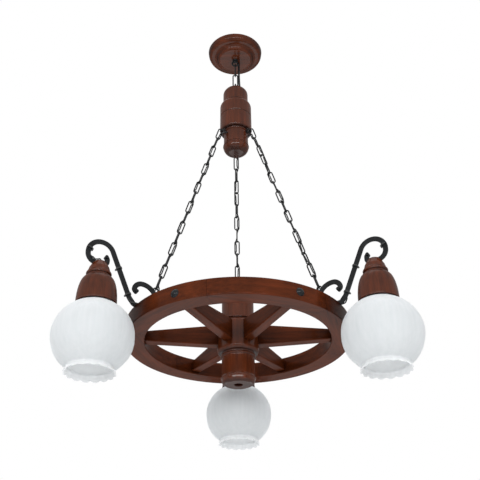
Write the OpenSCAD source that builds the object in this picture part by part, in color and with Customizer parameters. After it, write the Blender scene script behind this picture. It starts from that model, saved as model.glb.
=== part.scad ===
// Three-light wagon wheel chandelier: a spoked wooden wheel on three chains under a turned hub,
// with wrought iron arms that carry turned cups and opal glass globes.
// Origin: centre of the ceiling face. +Z up, -Y towards the room's front.

/* [Ceiling rose] */
// Diameter of the wooden rose
rose_d = 132; // [124:1:150]
// Height of the rose's outer ring
rose_ring_h = 16; // [14:0.5:19]
// Height of the rose down to its centre disc
rose_h = 26; // [24:0.5:32]
// Diameter of the rose's centre disc
rose_disc_d = 86; // [70:1:92]
// Diameter of the wiring space in the rose
recess_d = 104; // [100:1:112]
// Depth of the wiring space in the rose
recess_h = 12; // [11:0.5:12.5]
// Length of the steel ceiling strip
strip_l = 92; // [86:1:98]
// Width of the ceiling strip
strip_w = 16; // [15:0.5:17]
// Thickness of the ceiling strip
strip_t = 2.5; // [2:0.1:3]
// Distance between the strip's two screw holes
strip_pitch = 70; // [60:1:74]
// Diameter of the strip's screw holes
strip_hole_d = 5; // [4:0.1:6]
// Diameter of the strip's threaded boss
boss_d = 13; // [12:0.5:14]

/* [Hook and eyes] */
// Thread diameter of the ceiling hook and the hub's eye bolt
shank_d = 6; // [5:0.1:7]
// Wire diameter of the ceiling hook and the hub's eye bolt
eye_wire = 4; // [3.5:0.1:4.5]
// Inner diameter of their rings
eye_in_d = 10; // [9:0.5:12]
// Diameter of the collars under the hook and the eye
collar_d = 13; // [11:0.5:14]
// Height of these collars
collar_h = 2.5; // [2:0.1:4]

/* [Chains] */
// Outer length of the two links under the rose
top_link_l = 40; // [36:0.5:46]
// Outer width of the two links under the rose
top_link_w = 14; // [13:0.2:16]
// Wire diameter of the two links under the rose
top_link_d = 3; // [2.6:0.1:3.2]
// Outer length of a side chain's link
link_l = 34.75; // [33:0.25:37]
// Outer width of a side chain's link
link_w = 12.5; // [12.2:0.1:14]
// Wire diameter of a side chain's link
link_d = 2.8; // [2.5:0.1:2.9]
// Number of links in each side chain
side_links = 16; // [14:2:18]

/* [Upper hub] */
// Diameter of the hub's neck
neck_d = 57.8; // [54:0.2:62]
// Height of the neck with its domed top
neck_h = 43; // [38:1:48]
// Diameter of the hub's barrel
barrel_d = 72.6; // [68:0.2:78]
// Height of the barrel with its shoulder
barrel_h = 87; // [80:1:94]
// Diameter of the hub's lower stem
stem_d = 55.4; // [53:0.2:58]
// Height of the stem
stem_h = 38; // [36:0.5:46]
// Diameter of the hub's inner space
cavity_d = 34; // [32:0.5:36]
// Height of the inner space
cavity_h = 112; // [106:1:118]
// Diameter of the bottom cap's bead
cap_d = 58.8; // [56:0.2:62]
// Height of the bottom cap
cap_h = 20; // [17:0.5:23]
// Height of the cap's plug in the hub
plug_h = 8; // [6:0.5:10]
// Wire diameter of the three screw hooks
screw_hook_wire = 3; // [2.6:0.1:3.2]
// Inner diameter of the screw hooks' rings
screw_hook_in_d = 7.4; // [7:0.1:8]
// Depth of the screw hooks in the wood
screw_hook_grip = 9; // [7:0.5:9.5]
// Distance from the barrel's underside to the screw hooks
hook_below_barrel = 7.5; // [7:0.5:12]

/* [Wheel] */
// Outer diameter of the wheel
wheel_d = 440; // [430:1:450]
// Radial width of the rim
rim_w = 38; // [36:0.5:40]
// Height of the rim
rim_h = 33; // [30:0.5:36]
// Gap at each joint between the rim's felloes
felloe_gap = 0.2; // [0.1:0.05:0.5]
// Direction of the first felloe joint
felloe_joint = 14; // [12:1:16]
// Thickness of a spoke
spoke_t = 20; // [18:0.5:22]
// Height of a spoke at the hub
spoke_hub_h = 42.5; // [36:0.5:44]
// Height of a spoke at the rim
spoke_rim_h = 21; // [18:0.5:24]
// Length of the tenon at each end of a spoke
tenon_l = 10; // [8:0.5:11]
// Diameter of the domed bolt heads on the rim
bolt_head_d = 16.6; // [15:0.1:18]
// Height of the domed bolt heads
bolt_head_h = 4.3; // [3.8:0.1:5]
// Shank diameter of the rim bolts
bolt_d = 5; // [4:0.1:6]
// Depth of the rim bolts in the wood
bolt_l = 58; // [50:1:64]

/* [Lower hub] */
// Diameter of the drum that takes the spokes
drum_d = 81; // [78:0.5:86]
// Height of the drum
drum_h = 64; // [60:0.5:70]
// Distance from the drum's underside to the rim's underside
drum_below_rim = 22; // [18:0.5:24]
// Diameter of the necks above and below the drum
hub_neck_d = 63.6; // [60:0.2:67]
// Height of the upper neck with its chamfer
upper_neck_h = 62; // [50:1:70]
// Height of the lower neck with its chamfer
lower_neck_h = 61; // [54:1:68]
// Diameter of the hub's flat bottom face
hub_face_d = 49.4; // [44:0.2:54]
// Diameter of the hole in the bottom face
hub_hole_d = 16; // [15:0.5:18]
// Depth of that hole
hub_hole_h = 12; // [9:0.5:14]

/* [Arms] */
// Distance from the rim to the lamps' axis
lamp_out = 74; // [70:1:84]
// Width of the iron bar
bar_w = 10; // [9.5:0.5:11]
// Thickness of the iron bar
bar_t = 3; // [2.8:0.1:3.5]
// Height of the lamp seat above the rim
seat_h = 68.8; // [62:0.2:76]
// Bend radius of the arm's arch
arch_r = 25; // [23:0.5:27]
// Bend radius of the arm's return to the seat
return_r = 18.5; // [17:0.5:20]
// Straight run between the arch and the return
arch_drop = 3; // [1:0.5:6]
// Diameter of the arm screws
arm_screw_d = 4; // [3.5:0.1:4.5]
// Length of the arm screws in the wood
arm_screw_l = 22; // [18:1:26]

/* [Lamp cups] */
// Diameter of the cup's mouth
cup_d = 75; // [72:0.5:80]
// Height of the cup
cup_h = 89; // [86:0.5:94]
// Diameter of the cup's upper bead
cup_bead_d = 47; // [44:0.5:50]
// Diameter of the cup's top
cup_top_d = 25; // [24:0.5:28]
// Diameter of the cup's inner space
cup_bore_d = 45; // [43:0.5:47]
// Depth of the cup's inner space
cup_bore_h = 50; // [48:0.5:54]
// Thread diameter of the cup bolt
cup_bolt_d = 5; // [4:0.1:5.4]

/* [Lampholders] */
// Outer diameter of the lampholder
holder_d = 39; // [38:0.2:40]
// Height of the lampholder
holder_h = 58; // [56:0.5:62]
// Thread diameter that the lamp screws into
socket_d = 26.6; // [26.4:0.1:27]
// Length of the threaded shell
shell_l = 25; // [22:0.5:27]
// Outer diameter of the ring that holds the glass
ring_d = 57; // [54:0.5:60]
// Height of the ring that holds the glass
ring_h = 5; // [4:0.5:6]

/* [Glass globes] */
// Diameter of the globe
globe_d = 147; // [142:0.5:152]
// Height of the globe without its skirt
globe_h = 139; // [134:0.5:144]
// Thickness of the glass
glass_t = 3; // [2.5:0.1:3.5]
// Diameter of the hole in the top of the globe
globe_hole_d = 42; // [41:0.5:44]
// Diameter of the globe's neck above its skirt
globe_neck_d = 86; // [82:0.5:90]
// Diameter of the skirt's rim
skirt_d = 92; // [88:0.5:98]
// Height of the skirt
skirt_h = 11; // [9:0.5:14]
// Number of scallops on the skirt
scallops = 16; // [12:1:20]

/* [Cables] */
// Diameter of the supply cable beside the top chain
supply_d = 5; // [4.6:0.1:5.2]
// Diameter of the three lamp cables
flex_d = 2.6; // [2.4:0.1:2.7]

/* [Hidden] */
$fn = 64;

wood = "#6f3f35";
iron = "#2c2d2e";
steel = "#b4b6b8";
brass = "#c9a55a";
opal = "#f2f4f6";
cream = "#e6e1d6";

// Fits. A fit is the whole difference between two diameters or two faces.
fit = 0.2; // wood on wood, and parts that only lie in each other
thread_fit = 0.1; // a thread in its nut or boss
drill_fit = 0.4; // a screw in its clearance hole
hinge_gap = 0.3; // between wires that swing on each other
link_gap = 0.15; // between the taut links of a side chain
seat_gap = 0.3; // between a globe and its cup
weld = 0.7; // how far a forged ring runs into what it is welded to

// Sizes of hidden parts.
arm_eye_wire = 2.8; // the eye that is welded to each arm's scroll
arm_eye_r = 4.7;
hub_terminal_d = 28;
hub_terminal_h = 8;
core_h = 9; // porcelain core of a lampholder
core_d = 30;
holder_wall = 2.5; // top plate of a lampholder
shell_t = 0.8;
contact_d = 8;
contact_room = 3.2; // between a socket's shell and its core, where the contact springs
snub_r = 3.4; // the thick ends of each scroll
// How far each side chain twists on its way down, for the left, right and back one.
chain_twist = [0, 90, 90];

// Lamps and chains stand at these directions, counted from -Y towards -X.
lamp_dirs = [60, -60, 180];
spoke_dirs = [30, 90, 150, 210, 270, 330];

// ---------------------------------------------------------------- heights, from the ceiling down
top_run = top_link_l - top_link_d; // between the centres of a link's two end wires
link_run = link_l - link_d;
link_pitch = link_run - link_d - link_gap;
eye_ring_r = (eye_in_d + eye_wire) / 2;
hook_top = -rose_h - collar_h; // underside of the hook's collar
hook_c = hook_top - eye_ring_r - eye_wire / 2 + weld; // centre of the hook's ring
hook_carry = hook_c - eye_ring_r;
link1_top = hook_carry + (eye_wire + top_link_d) / 2 + hinge_gap;
link1_bottom = link1_top - top_run;
link2_top = link1_bottom + top_link_d + hinge_gap;
link2_bottom = link2_top - top_run;
eye_carry = link2_bottom + (eye_wire + top_link_d) / 2 + hinge_gap;
eye_c = eye_carry - eye_ring_r;
eye_foot = eye_c - eye_ring_r - eye_wire / 2 + weld; // top of the eye's collar
hub_top = eye_foot - collar_h;
barrel_foot = hub_top - neck_h - barrel_h;
stem_foot = barrel_foot - stem_h;
cavity_top = stem_foot + cavity_h;
screw_hook_z = barrel_foot - hook_below_barrel;

// The screw hooks' rings, and the line that each side chain hangs on.
screw_ring_r = (screw_hook_in_d + screw_hook_wire) / 2;
screw_ring_x = stem_d / 2 + 1 + screw_ring_r + screw_hook_wire / 2 - weld;
chain_x = screw_ring_x + screw_ring_r;
chain_l = side_links * link_run - (side_links - 1) * (link_d + link_gap)
    - (screw_hook_wire + link_d) / 2 - (arm_eye_wire + link_d) / 2 - 2 * link_gap;

// ---------------------------------------------------------------- the arm's outline
// A bar is a list of [length, 0] for a straight run and [radius, turn] for a bend, + to the left.
foot_in = wheel_d / 2 - rim_w + 6.2; // start of the foot that lies on the rim
foot_out = wheel_d / 2 - 2;
lamp_r = wheel_d / 2 + lamp_out;
scroll_segs = [[6, -90], [21.6, 0], [12, -40], [30, -50], [15, -80], [5, -90]];
kick = [[8, 49], [9, 0]];
kick_r = 20; // the bend after the kick
kick_end = walk_end(kick, [foot_out, bar_t / 2, 0]);
seat_l = 1.2 * bar_w; // straight run that lies in the cup's slot
arch_c = [lamp_r + seat_l / 2 + return_r - arch_r, seat_h + return_r + arch_drop];
kick_c = [kick_end[0] - kick_r * sin(kick_end[2]), kick_end[1] + kick_r * cos(kick_end[2])];
kick_to_arch = [arch_c[0] - kick_c[0], arch_c[1] - kick_c[1]];
rise_a = atan2(kick_to_arch[1], kick_to_arch[0]) + asin((arch_r + kick_r) / norm(kick_to_arch));
rise_l = sqrt(pow(norm(kick_to_arch), 2) - pow(arch_r + kick_r, 2));
arm_segs = concat(kick, [[kick_r, rise_a - kick_end[2]], [rise_l, 0], [arch_r, -rise_a - 90],
    [arch_drop, 0], [return_r, -90], [seat_l, 0], [7.5, -90], [4, 0], [5, -60]]);

// The small eye that is welded to the scroll and holds the chain's lower end.
eye_station = walk_end([for (i = [0:2]) scroll_segs[i]], [foot_in, bar_t / 2, 180]);
arm_eye_out = bar_t / 2 + arm_eye_r + arm_eye_wire / 2 - weld;
arm_eye_c = [eye_station[0] - arm_eye_out * sin(eye_station[2]),
    eye_station[1] + arm_eye_out * cos(eye_station[2])];

// The wheel hangs where the taut chains put it.
chain_dx = arm_eye_c[0] - chain_x;
chain_dz = sqrt(pow(chain_l + arm_eye_r, 2) - pow(chain_dx, 2));
chain_tilt = atan2(chain_dx, chain_dz);
rim_top = screw_hook_z - chain_dz - arm_eye_c[1];
rim_foot = rim_top - rim_h;
drum_foot = rim_foot - drum_below_rim;
drum_top = drum_foot + drum_h;
hub_face = drum_foot - lower_neck_h;
spoke_z = rim_foot + rim_h / 2;

// The lamps, from the seat down.
seat_z = rim_top + seat_h; // centre line of the bar in the cup's slot
slot_floor = seat_z - bar_t / 2;
cup_top = seat_z + bar_t / 2 + 0.7;
cup_foot = cup_top - cup_h;
cup_ceiling = cup_foot + cup_bore_h;
holder_top = cup_ceiling;
holder_foot = holder_top - holder_h;
shell_foot = holder_foot + 3;
core_foot = shell_foot + shell_l + contact_room;
core_top = core_foot + core_h;
globe_r = globe_d / 2;
globe_b = globe_h / 2;
cup_lip_r = cup_d / 2 - 1.5; // where the cup meets the glass
globe_c = cup_foot - seat_gap - globe_b * sqrt(1 - pow(cup_lip_r / globe_r, 2));
globe_in_r = globe_r - glass_t;
globe_in_b = globe_b - glass_t;
neck_z = globe_c - globe_b * sqrt(1 - pow(globe_neck_d / 2 / globe_r, 2));
skirt_z = neck_z - skirt_h;
ring_top = globe_c + globe_in_b * sqrt(1 - pow(ring_d / 2 / globe_in_r, 2)) - 0.2;
flex_side = bar_w / 2 + flex_d / 2 + 1.2; // sideways place of the cable beside the bar

// ---------------------------------------------------------------- helpers
function arc_pts(x, y, r, a0, a1, n = 8) =
    [for (i = [0:n]) let(a = a0 + (a1 - a0) * i / n) [x + r * cos(a), y + r * sin(a)]];

// An ellipse's quarter or part, from angle a0 to a1.
function oval_pts(y, a, b, a0, a1, n = 24) =
    [for (i = [0:n]) let(t = a0 + (a1 - a0) * i / n) [a * cos(t), y + b * sin(t)]];

// Where one segment of a bar leads, as [x, z, heading].
function seg_end(at, seg) = seg[1] == 0
    ? [at[0] + seg[0] * cos(at[2]), at[1] + seg[0] * sin(at[2]), at[2]]
    : let(side = sign(seg[1]), h = at[2] + seg[1])
        [at[0] + side * seg[0] * (sin(h) - sin(at[2])),
        at[1] - side * seg[0] * (cos(h) - cos(at[2])), h];

function walk_end(segs, at, i = 0) = i == len(segs) ? at : walk_end(segs, seg_end(at, segs[i]), i + 1);

// The stations of a bar, one every bend_step degrees in a bend.
bend_step = 10;
function steps(seg) = max(1, ceil(abs(seg[1]) / bend_step));
function stations(segs, at, i = 0) = i == len(segs) ? [at] : concat([at],
    steps(segs[i]) == 1 ? [] : [for (k = [1:steps(segs[i]) - 1])
        seg_end(at, [segs[i][0], segs[i][1] * k / steps(segs[i])])],
    stations(segs, seg_end(at, segs[i]), i + 1));
// The number of the station where segment k starts.
function station_of(segs, k) = k == 0 ? 0 : steps(segs[k - 1]) + station_of(segs, k - 1);

function beside(at, d) = [at[0] + d * sin(at[2]), at[1] - d * cos(at[2])];

// A flat bar bent in the XZ plane, centred on Y.
module bent_bar(segs, at, width, t) {
    line = stations(segs, at);
    last = len(line) - 1;
    rotate([90, 0, 0])
        linear_extrude(height = width, center = true)
            polygon(concat([for (p = line) beside(p, t / 2)],
                [for (i = [0:last]) beside(line[last - i], -t / 2)]));
}

// Turns what is drawn along +X into one of the object's directions.
module toward(dir) {
    rotate([0, 0, -90 - dir]) children();
}

module ring(r, wire) {
    rotate_extrude() translate([r, 0]) circle(d = wire, $fn = 24);
}

// A link of wire d that stands in the XZ plane, centred on its middle.
module chain_link(l, w, d) {
    bend_r = (w - d) / 2;
    side = l - w;
    for (s = [1, -1]) {
        translate([0, 0, s * side / 2]) rotate([90, 0, 0]) rotate([0, 0, s > 0 ? 0 : 180])
            rotate_extrude(angle = 180) translate([bend_r, 0]) circle(d = d, $fn = 24);
        translate([s * bend_r, 0, -side / 2]) cylinder(h = side, d = d, $fn = 24);
    }
}

// Frame of a tube's ring: two directions square to the tube, the first square to side as well.
function unit(v) = v / norm(v);
function tube_ring(p, dir, side, r, n) = let(u = unit(cross(dir, side)), w = unit(cross(dir, u)))
    [for (k = [0:n - 1]) p + r * (cos(360 * k / n) * u + sin(360 * k / n) * w)];

// A tube of diameter d through the points of a route.
module tube(route, d, side) {
    n = 8;
    last = len(route) - 1;
    dirs = [for (i = [0:last]) unit(route[min(i + 1, last)] - route[max(i - 1, 0)])];
    rings = [for (i = [0:last]) each tube_ring(route[i], dirs[i], side, d / 2, n)];
    walls = [for (i = [0:last - 1], k = [0:n - 1]) let(a = i * n + k, b = i * n + (k + 1) % n)
        each [[a, a + n, b], [b, a + n, b + n]]];
    polyhedron(rings, concat([[for (k = [0:n - 1]) k]], walls, [[for (k = [n - 1:-1:0]) last * n + k]]));
}

// A smooth route through hand-picked points, with n steps between each two.
function smooth(pts, n) = let(m = len(pts) - 1) concat([for (i = [0:m - 1], k = [0:n - 1])
    let(p0 = pts[max(i - 1, 0)], p1 = pts[i], p2 = pts[i + 1], p3 = pts[min(i + 2, m)], t = k / n)
        0.5 * (2 * p1 + (p2 - p0) * t + (2 * p0 - 5 * p1 + 4 * p2 - p3) * t * t
        + (3 * p1 - p0 - 3 * p2 + p3) * t * t * t)], [pts[m]]);

module hex(af, h) {
    cylinder(h = h, d = af / cos(30), $fn = 6);
}

// ---------------------------------------------------------------- ceiling
module ceiling_strip() {
    color(steel) difference() {
        union() {
            translate([-strip_l / 2, -strip_w / 2, -strip_t]) cube([strip_l, strip_w, strip_t]);
            translate([0, 0, -recess_h]) cylinder(h = recess_h - strip_t / 2, d = boss_d);
        }
        translate([0, 0, -recess_h - 1]) cylinder(h = recess_h, d = shank_d + thread_fit);
        for (s = [1, -1]) translate([s * strip_pitch / 2, 0, -strip_t - 1])
            cylinder(h = strip_t + 2, d = strip_hole_d);
    }
}

supply_x = 9; // place of the supply cable's hole in the rose
supply_y = 12.5;

module rose() {
    step_r = rose_disc_d / 2;
    color(wood) difference() {
        rotate_extrude($fn = 96) polygon(concat(
            [[0, 0], [rose_d / 2 - 1.5, 0]],
            arc_pts(rose_d / 2 - 9, -rose_ring_h + 9, 9, 20, -80, 9),
            arc_pts(step_r + 6.5, -rose_ring_h - 2.5, 2.5, 90, 170, 4),
            arc_pts(step_r - 4, -rose_h + 5, 5, 10, -90, 6),
            [[0, -rose_h]]));
        translate([0, 0, -recess_h]) cylinder(h = recess_h + 1, d = recess_d);
        translate([0, 0, -rose_h - 1]) cylinder(h = rose_h, d = shank_d + drill_fit);
        translate([supply_x, supply_y, -rose_h - 1]) cylinder(h = rose_h, d = supply_d + 2 * drill_fit);
    }
}

module ceiling_hook() {
    color(iron) {
        translate([0, 0, hook_top + collar_h / 2]) cylinder(h = -hook_top - collar_h / 2 - 2.5, d = shank_d);
        translate([0, 0, hook_top]) cylinder(h = collar_h, d = collar_d);
        translate([0, 0, hook_c]) rotate([90, 0, 0]) ring(eye_ring_r, eye_wire);
    }
}

terminal_size = [30, 13, 9];
terminal_y = 32;

module rose_terminal() {
    translate([-terminal_size[0] / 2, terminal_y - terminal_size[1] / 2, -recess_h]) color(cream) difference() {
        cube(terminal_size);
        for (i = [0:2]) translate([5 + 10 * i, -1, 4]) rotate([-90, 0, 0])
            cylinder(h = terminal_size[1] + 2, d = 3.4, $fn = 24);
    }
}

module top_link_1() {
    color(iron) translate([0, 0, (link1_top + link1_bottom) / 2]) rotate([0, 0, 90])
        chain_link(top_link_l, top_link_w, top_link_d);
}

module top_link_2() {
    color(iron) translate([0, 0, (link2_top + link2_bottom) / 2])
        chain_link(top_link_l, top_link_w, top_link_d);
}

// The supply cable: out of the rose, down beside both links and into the hub's dome.
hub_hole_x = 11;
supply_h = -recess_h + supply_d / 2 + 2; // height at which it crosses the rose's floor
supply_foot = stem_foot + plug_h + hub_terminal_h;
supply_route = concat([[supply_x, terminal_y - terminal_size[1] / 2, supply_h],
    [supply_x, supply_y + 7.5, supply_h], [supply_x, supply_y + 3.8, supply_h - 0.2],
    [supply_x, supply_y + 0.5, supply_h - 2.4], [supply_x, supply_y, -recess_h - 0.8]],
    smooth([[supply_x, supply_y, -rose_h + 2], [supply_x, supply_y, -rose_h - 1],
        [9, supply_y - 1.5, -rose_h - 10], [9, 8, link1_top - 8], [8.9, 5, link1_top - 22],
        [8.9, 3.2, link2_top - 4], [9.2, 2.4, link2_top - 16], [10, 1.2, link2_bottom],
        [hub_hole_x, 0, hub_top + 5], [hub_hole_x, 0, hub_top - 1]], 2),
    smooth([[hub_hole_x, 0, cavity_top + 1], [hub_hole_x, 0, cavity_top - 3],
        [hub_hole_x - 1, 0, cavity_top - 20], [6.4, 0, supply_foot + 34], [6, 0, supply_foot + 14]], 2),
    [[6, 0, supply_foot]]);

module supply_cable() {
    color(iron) tube(supply_route, supply_d, [1, 0, 0]);
}

// ---------------------------------------------------------------- upper hub
module hub_eye() {
    color(iron) {
        translate([0, 0, eye_c]) rotate([90, 0, 90]) ring(eye_ring_r, eye_wire);
        translate([0, 0, hub_top]) cylinder(h = collar_h, d = collar_d);
        translate([0, 0, cavity_top - 9]) cylinder(h = hub_top - cavity_top + 9 + collar_h / 2, d = shank_d);
    }
}

module hub_eye_nut() {
    color(steel) translate([0, 0, cavity_top - 6.5]) difference() {
        union() {
            hex(10, 5.5);
            translate([0, 0, 5]) cylinder(h = 1.5, d = 15);
        }
        translate([0, 0, -1]) cylinder(h = 9, d = shank_d + thread_fit);
    }
}

dome_r = 16; // rounding of the hub's domed top
flex_hole_z = screw_hook_z - 6;
flex_hole_y = 8; // sideways place of the cable's hole beside the screw hook

module upper_hub() {
    neck_r = neck_d / 2;
    barrel_r = barrel_d / 2;
    stem_r = stem_d / 2;
    neck_foot = hub_top - neck_h;
    color(wood) difference() {
        rotate_extrude($fn = 96) polygon(concat(
            [[0, hub_top]],
            arc_pts(neck_r - dome_r, hub_top - dome_r, dome_r, 90, 0, 8),
            [[neck_r, neck_foot + 2], [neck_r + 0.8, neck_foot]],
            arc_pts(barrel_r - 14, neck_foot - 20, 14, 60, 0, 5),
            [[barrel_r, neck_foot - 42], [barrel_r - 1.2, neck_foot - 44], [barrel_r, neck_foot - 46],
                [barrel_r + 0.2, barrel_foot + 4]],
            arc_pts(barrel_r - 2.8, barrel_foot + 3, 3, 0, -90, 4),
            [[stem_r + 2, barrel_foot], [stem_r, barrel_foot - 3], [stem_r, stem_foot + 8],
                [stem_r + 0.6, stem_foot + 3], [stem_r + 0.6, stem_foot], [0, stem_foot]]));
        translate([0, 0, stem_foot - 1]) cylinder(h = cavity_h + 1, d = cavity_d);
        translate([0, 0, cavity_top - 1]) cylinder(h = hub_top - cavity_top + 2, d = shank_d + drill_fit);
        translate([hub_hole_x, 0, cavity_top - 1])
            cylinder(h = hub_top - cavity_top + 2, d = supply_d + drill_fit);
        for (dir = lamp_dirs) toward(dir) {
            translate([stem_r - screw_hook_grip - 1, 0, screw_hook_z]) rotate([0, 90, 0])
                cylinder(h = screw_hook_grip + 3, d = screw_hook_wire + thread_fit, $fn = 24);
            translate([0, flex_hole_y, flex_hole_z]) rotate([0, 90, 0])
                cylinder(h = stem_r + 2, d = flex_d + drill_fit, $fn = 24);
        }
    }
}

module hub_cap() {
    cap_r = cap_d / 2;
    color(wood) rotate_extrude($fn = 96) polygon(concat(
        [[0, stem_foot + plug_h], [cavity_d / 2 - fit / 2, stem_foot + plug_h],
            [cavity_d / 2 - fit / 2, stem_foot], [stem_d / 2, stem_foot]],
        arc_pts(cap_r - 2.6, stem_foot - 2.8, 2.6, 80, -20, 5),
        arc_pts(cap_r - 16.4, stem_foot - 4, cap_h - 4, 0, -90, 8),
        [[0, stem_foot - cap_h]]));
}

module hub_terminal() {
    color(cream) translate([0, 0, stem_foot + plug_h]) difference() {
        cylinder(h = hub_terminal_h, d = hub_terminal_d);
        for (dir = lamp_dirs) toward(dir) translate([hub_terminal_d / 2 - 4, 0, hub_terminal_h / 2])
            cylinder(h = hub_terminal_h, d = 1.8, $fn = 24);
    }
}

module screw_hooks() {
    color(iron) for (dir = lamp_dirs) toward(dir) {
        translate([screw_ring_x, 0, screw_hook_z]) ring(screw_ring_r, screw_hook_wire);
        translate([stem_d / 2 - screw_hook_grip, 0, screw_hook_z]) rotate([0, 90, 0])
            cylinder(h = screw_hook_grip + 1 + weld, d = screw_hook_wire, $fn = 24);
        translate([stem_d / 2, 0, screw_hook_z]) rotate([0, 90, 0])
            cylinder(h = 1, d = 2.4 * screw_hook_wire, $fn = 32);
    }
}

// ---------------------------------------------------------------- side chains and their cables
// Distance from the chain's start to the middle of link i, counted from 0.
function link_mid(i) = -(screw_hook_wire + link_d) / 2 - link_gap + link_run / 2 + i * link_pitch;

module side_chain(k) {
    color(iron) toward(lamp_dirs[k]) translate([chain_x, 0, screw_hook_z]) rotate([0, -chain_tilt, 0])
        for (i = [0:side_links - 1]) translate([0, 0, -link_mid(i)])
            rotate([0, 0, (i % 2 == 0 ? 0 : 90) - twist_at(i, chain_twist[k])])
            chain_link(link_l, link_w, link_d);
}

// The flex winds once round the chain in four links, through the middle of each.
beside_wire = (link_d + flex_d) / 2; // from a link's wire to a flex that touches it
// Its distance from the chain's line in a link's middle, and between two links.
wind_r = [(link_w - link_d) / 2 - beside_wire - 0.55, (beside_wire + 0.75) * sqrt(2)];
function twist_at(turn, most) = most * pow(sin(180 * (turn + 0.5) / side_links), 2);
function chain_point(s, a, b) = [chain_x + s * sin(chain_tilt) + a * cos(chain_tilt), b,
    screw_hook_z - s * cos(chain_tilt) + a * sin(chain_tilt)];
function wind_point(turn, most) = let(
    s = link_mid(0) + turn * link_pitch,
    a = 180 + 90 * turn - twist_at(turn, most),
    r = wind_r[0] + (wind_r[1] - wind_r[0]) * pow(sin(180 * turn), 8))
    chain_point(s, r * cos(a), r * sin(a));

rim_side = rim_top + flex_d / 2 + 0.1;
scroll_tip = walk_end(scroll_segs, [foot_in, bar_t / 2, 180]);
arm_tip = walk_end(arm_segs, [foot_out, bar_t / 2, 0]);
arm_line = [for (p = stations(arm_segs, [foot_out, bar_t / 2, 0])) [p[0], p[1] + rim_top, p[2]]];
rise_start = station_of(arm_segs, 3);
arch_end = station_of(arm_segs, 5);
seat_start = station_of(arm_segs, 7);
flex_off = (bar_t + flex_d) / 2 + 0.15; // the flex lies on the bar's inner face
function on_bar(i, off, y) = let(p = beside(arm_line[i], off)) [p[0], y, p[1]];

// The flex's way: out of the hub, round the chain, over the rim, along the arm and into the cup.
wire_r = hub_terminal_d / 2 - 4;
terminal_top = stem_foot + plug_h + hub_terminal_h;
function flex_route(most) = concat(
    [[wire_r, 0, terminal_top], [wire_r, 0, terminal_top + 2], [wire_r + 0.8, 3, flex_hole_z - 2],
        [wire_r + 2.6, flex_hole_y - 0.7, flex_hole_z - 0.1], [cavity_d / 2 - 2, flex_hole_y, flex_hole_z],
        [stem_d / 2 + 1, flex_hole_y, flex_hole_z], [chain_x - 6.2, flex_hole_y - 0.9, flex_hole_z - 1.2],
        chain_point(8, 0.2 - link_w / 2 + link_d / 2, 3.6), chain_point(11.3, -wind_r[0] - 0.5, 1.7)],
    [for (t = [0.25:0.25:side_links - 0.75]) wind_point(t, most)],
    [wind_point(side_links - 0.6, most), [arm_eye_c[0] - 4.9, flex_side - 3.4, rim_top + arm_eye_c[1] + 5],
        [arm_eye_c[0] - 4.2, flex_side - 1, rim_top + arm_eye_c[1] - 3],
        [arm_eye_c[0] - 2, flex_side, rim_top + 27], [arm_eye_c[0] + 1, flex_side, rim_top + 14],
        [foot_in - 4, flex_side, rim_top + 6], [foot_in + 1, flex_side, rim_side + 0.8],
        [foot_in + 6, flex_side, rim_side], [foot_out - 3, flex_side, rim_side],
        [foot_out + 3, flex_side, rim_side + 0.1], [foot_out + 8.5, flex_side - 1, rim_side + 0.5],
        [kick_end[0] - 0.2, flex_side - 3.4, rim_top + kick_end[1] - 7.9],
        [kick_end[0] + 3.4, 2.2, rim_top + kick_end[1] - 2.6]],
    [for (i = [rise_start:arch_end]) on_bar(i, flex_off, 0)],
    [on_bar(arch_end + 3, flex_off + 0.2, 1.2), on_bar(arch_end + 5, flex_off + 0.9, flex_side - 4.2),
        on_bar(arch_end + 6, flex_off + 0.6, flex_side - 1.4),
        on_bar(arch_end + 8, flex_off - 1, flex_side - 0.1),
        [lamp_r + 3.4, flex_side, cup_top + 3.6], [lamp_r + 1.2, flex_side, cup_top + 0.6],
        [lamp_r + 1, flex_side, cup_top - 3], [lamp_r + 1, flex_side, cup_ceiling],
        [lamp_r + 1, flex_side, core_top]]);

module flex(k) {
    color(iron) toward(lamp_dirs[k]) tube(flex_route(chain_twist[k]), flex_d, [0, 1, 0]);
}

// ---------------------------------------------------------------- wheel
module felloe(i) {
    start = -90 - felloe_joint - 60 * i;
    r_out = wheel_d / 2;
    half_gap = asin(felloe_gap / 2 / r_out);
    edge = 1.5;
    color(wood) difference() {
        rotate([0, 0, start + half_gap]) rotate_extrude(angle = 60 - 2 * half_gap, $fn = 180)
            polygon([[r_out - rim_w + edge, rim_foot], [r_out - edge, rim_foot],
                [r_out, rim_foot + edge], [r_out, rim_top - edge], [r_out - edge, rim_top],
                [r_out - rim_w + edge, rim_top], [r_out - rim_w, rim_top - edge],
                [r_out - rim_w, rim_foot + edge]]);
        for (dir = spoke_dirs) toward(dir) {
            translate([r_out - rim_w - 2, 0, spoke_z]) cube([2 * (tenon_l + 2.2), spoke_t * 0.6 + fit,
                spoke_rim_h * 0.6 + fit], center = true);
            translate([r_out - rim_w, 0, spoke_z]) rotate([0, 90, 0])
                cylinder(h = rim_w + 1, d = bolt_d + thread_fit, $fn = 32);
        }
        for (dir = lamp_dirs, x = arm_screw_x) toward(dir) translate([x, 0, rim_top - arm_screw_l - 1])
            cylinder(h = arm_screw_l + 2, d = arm_screw_d + thread_fit, $fn = 32);
    }
}

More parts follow.
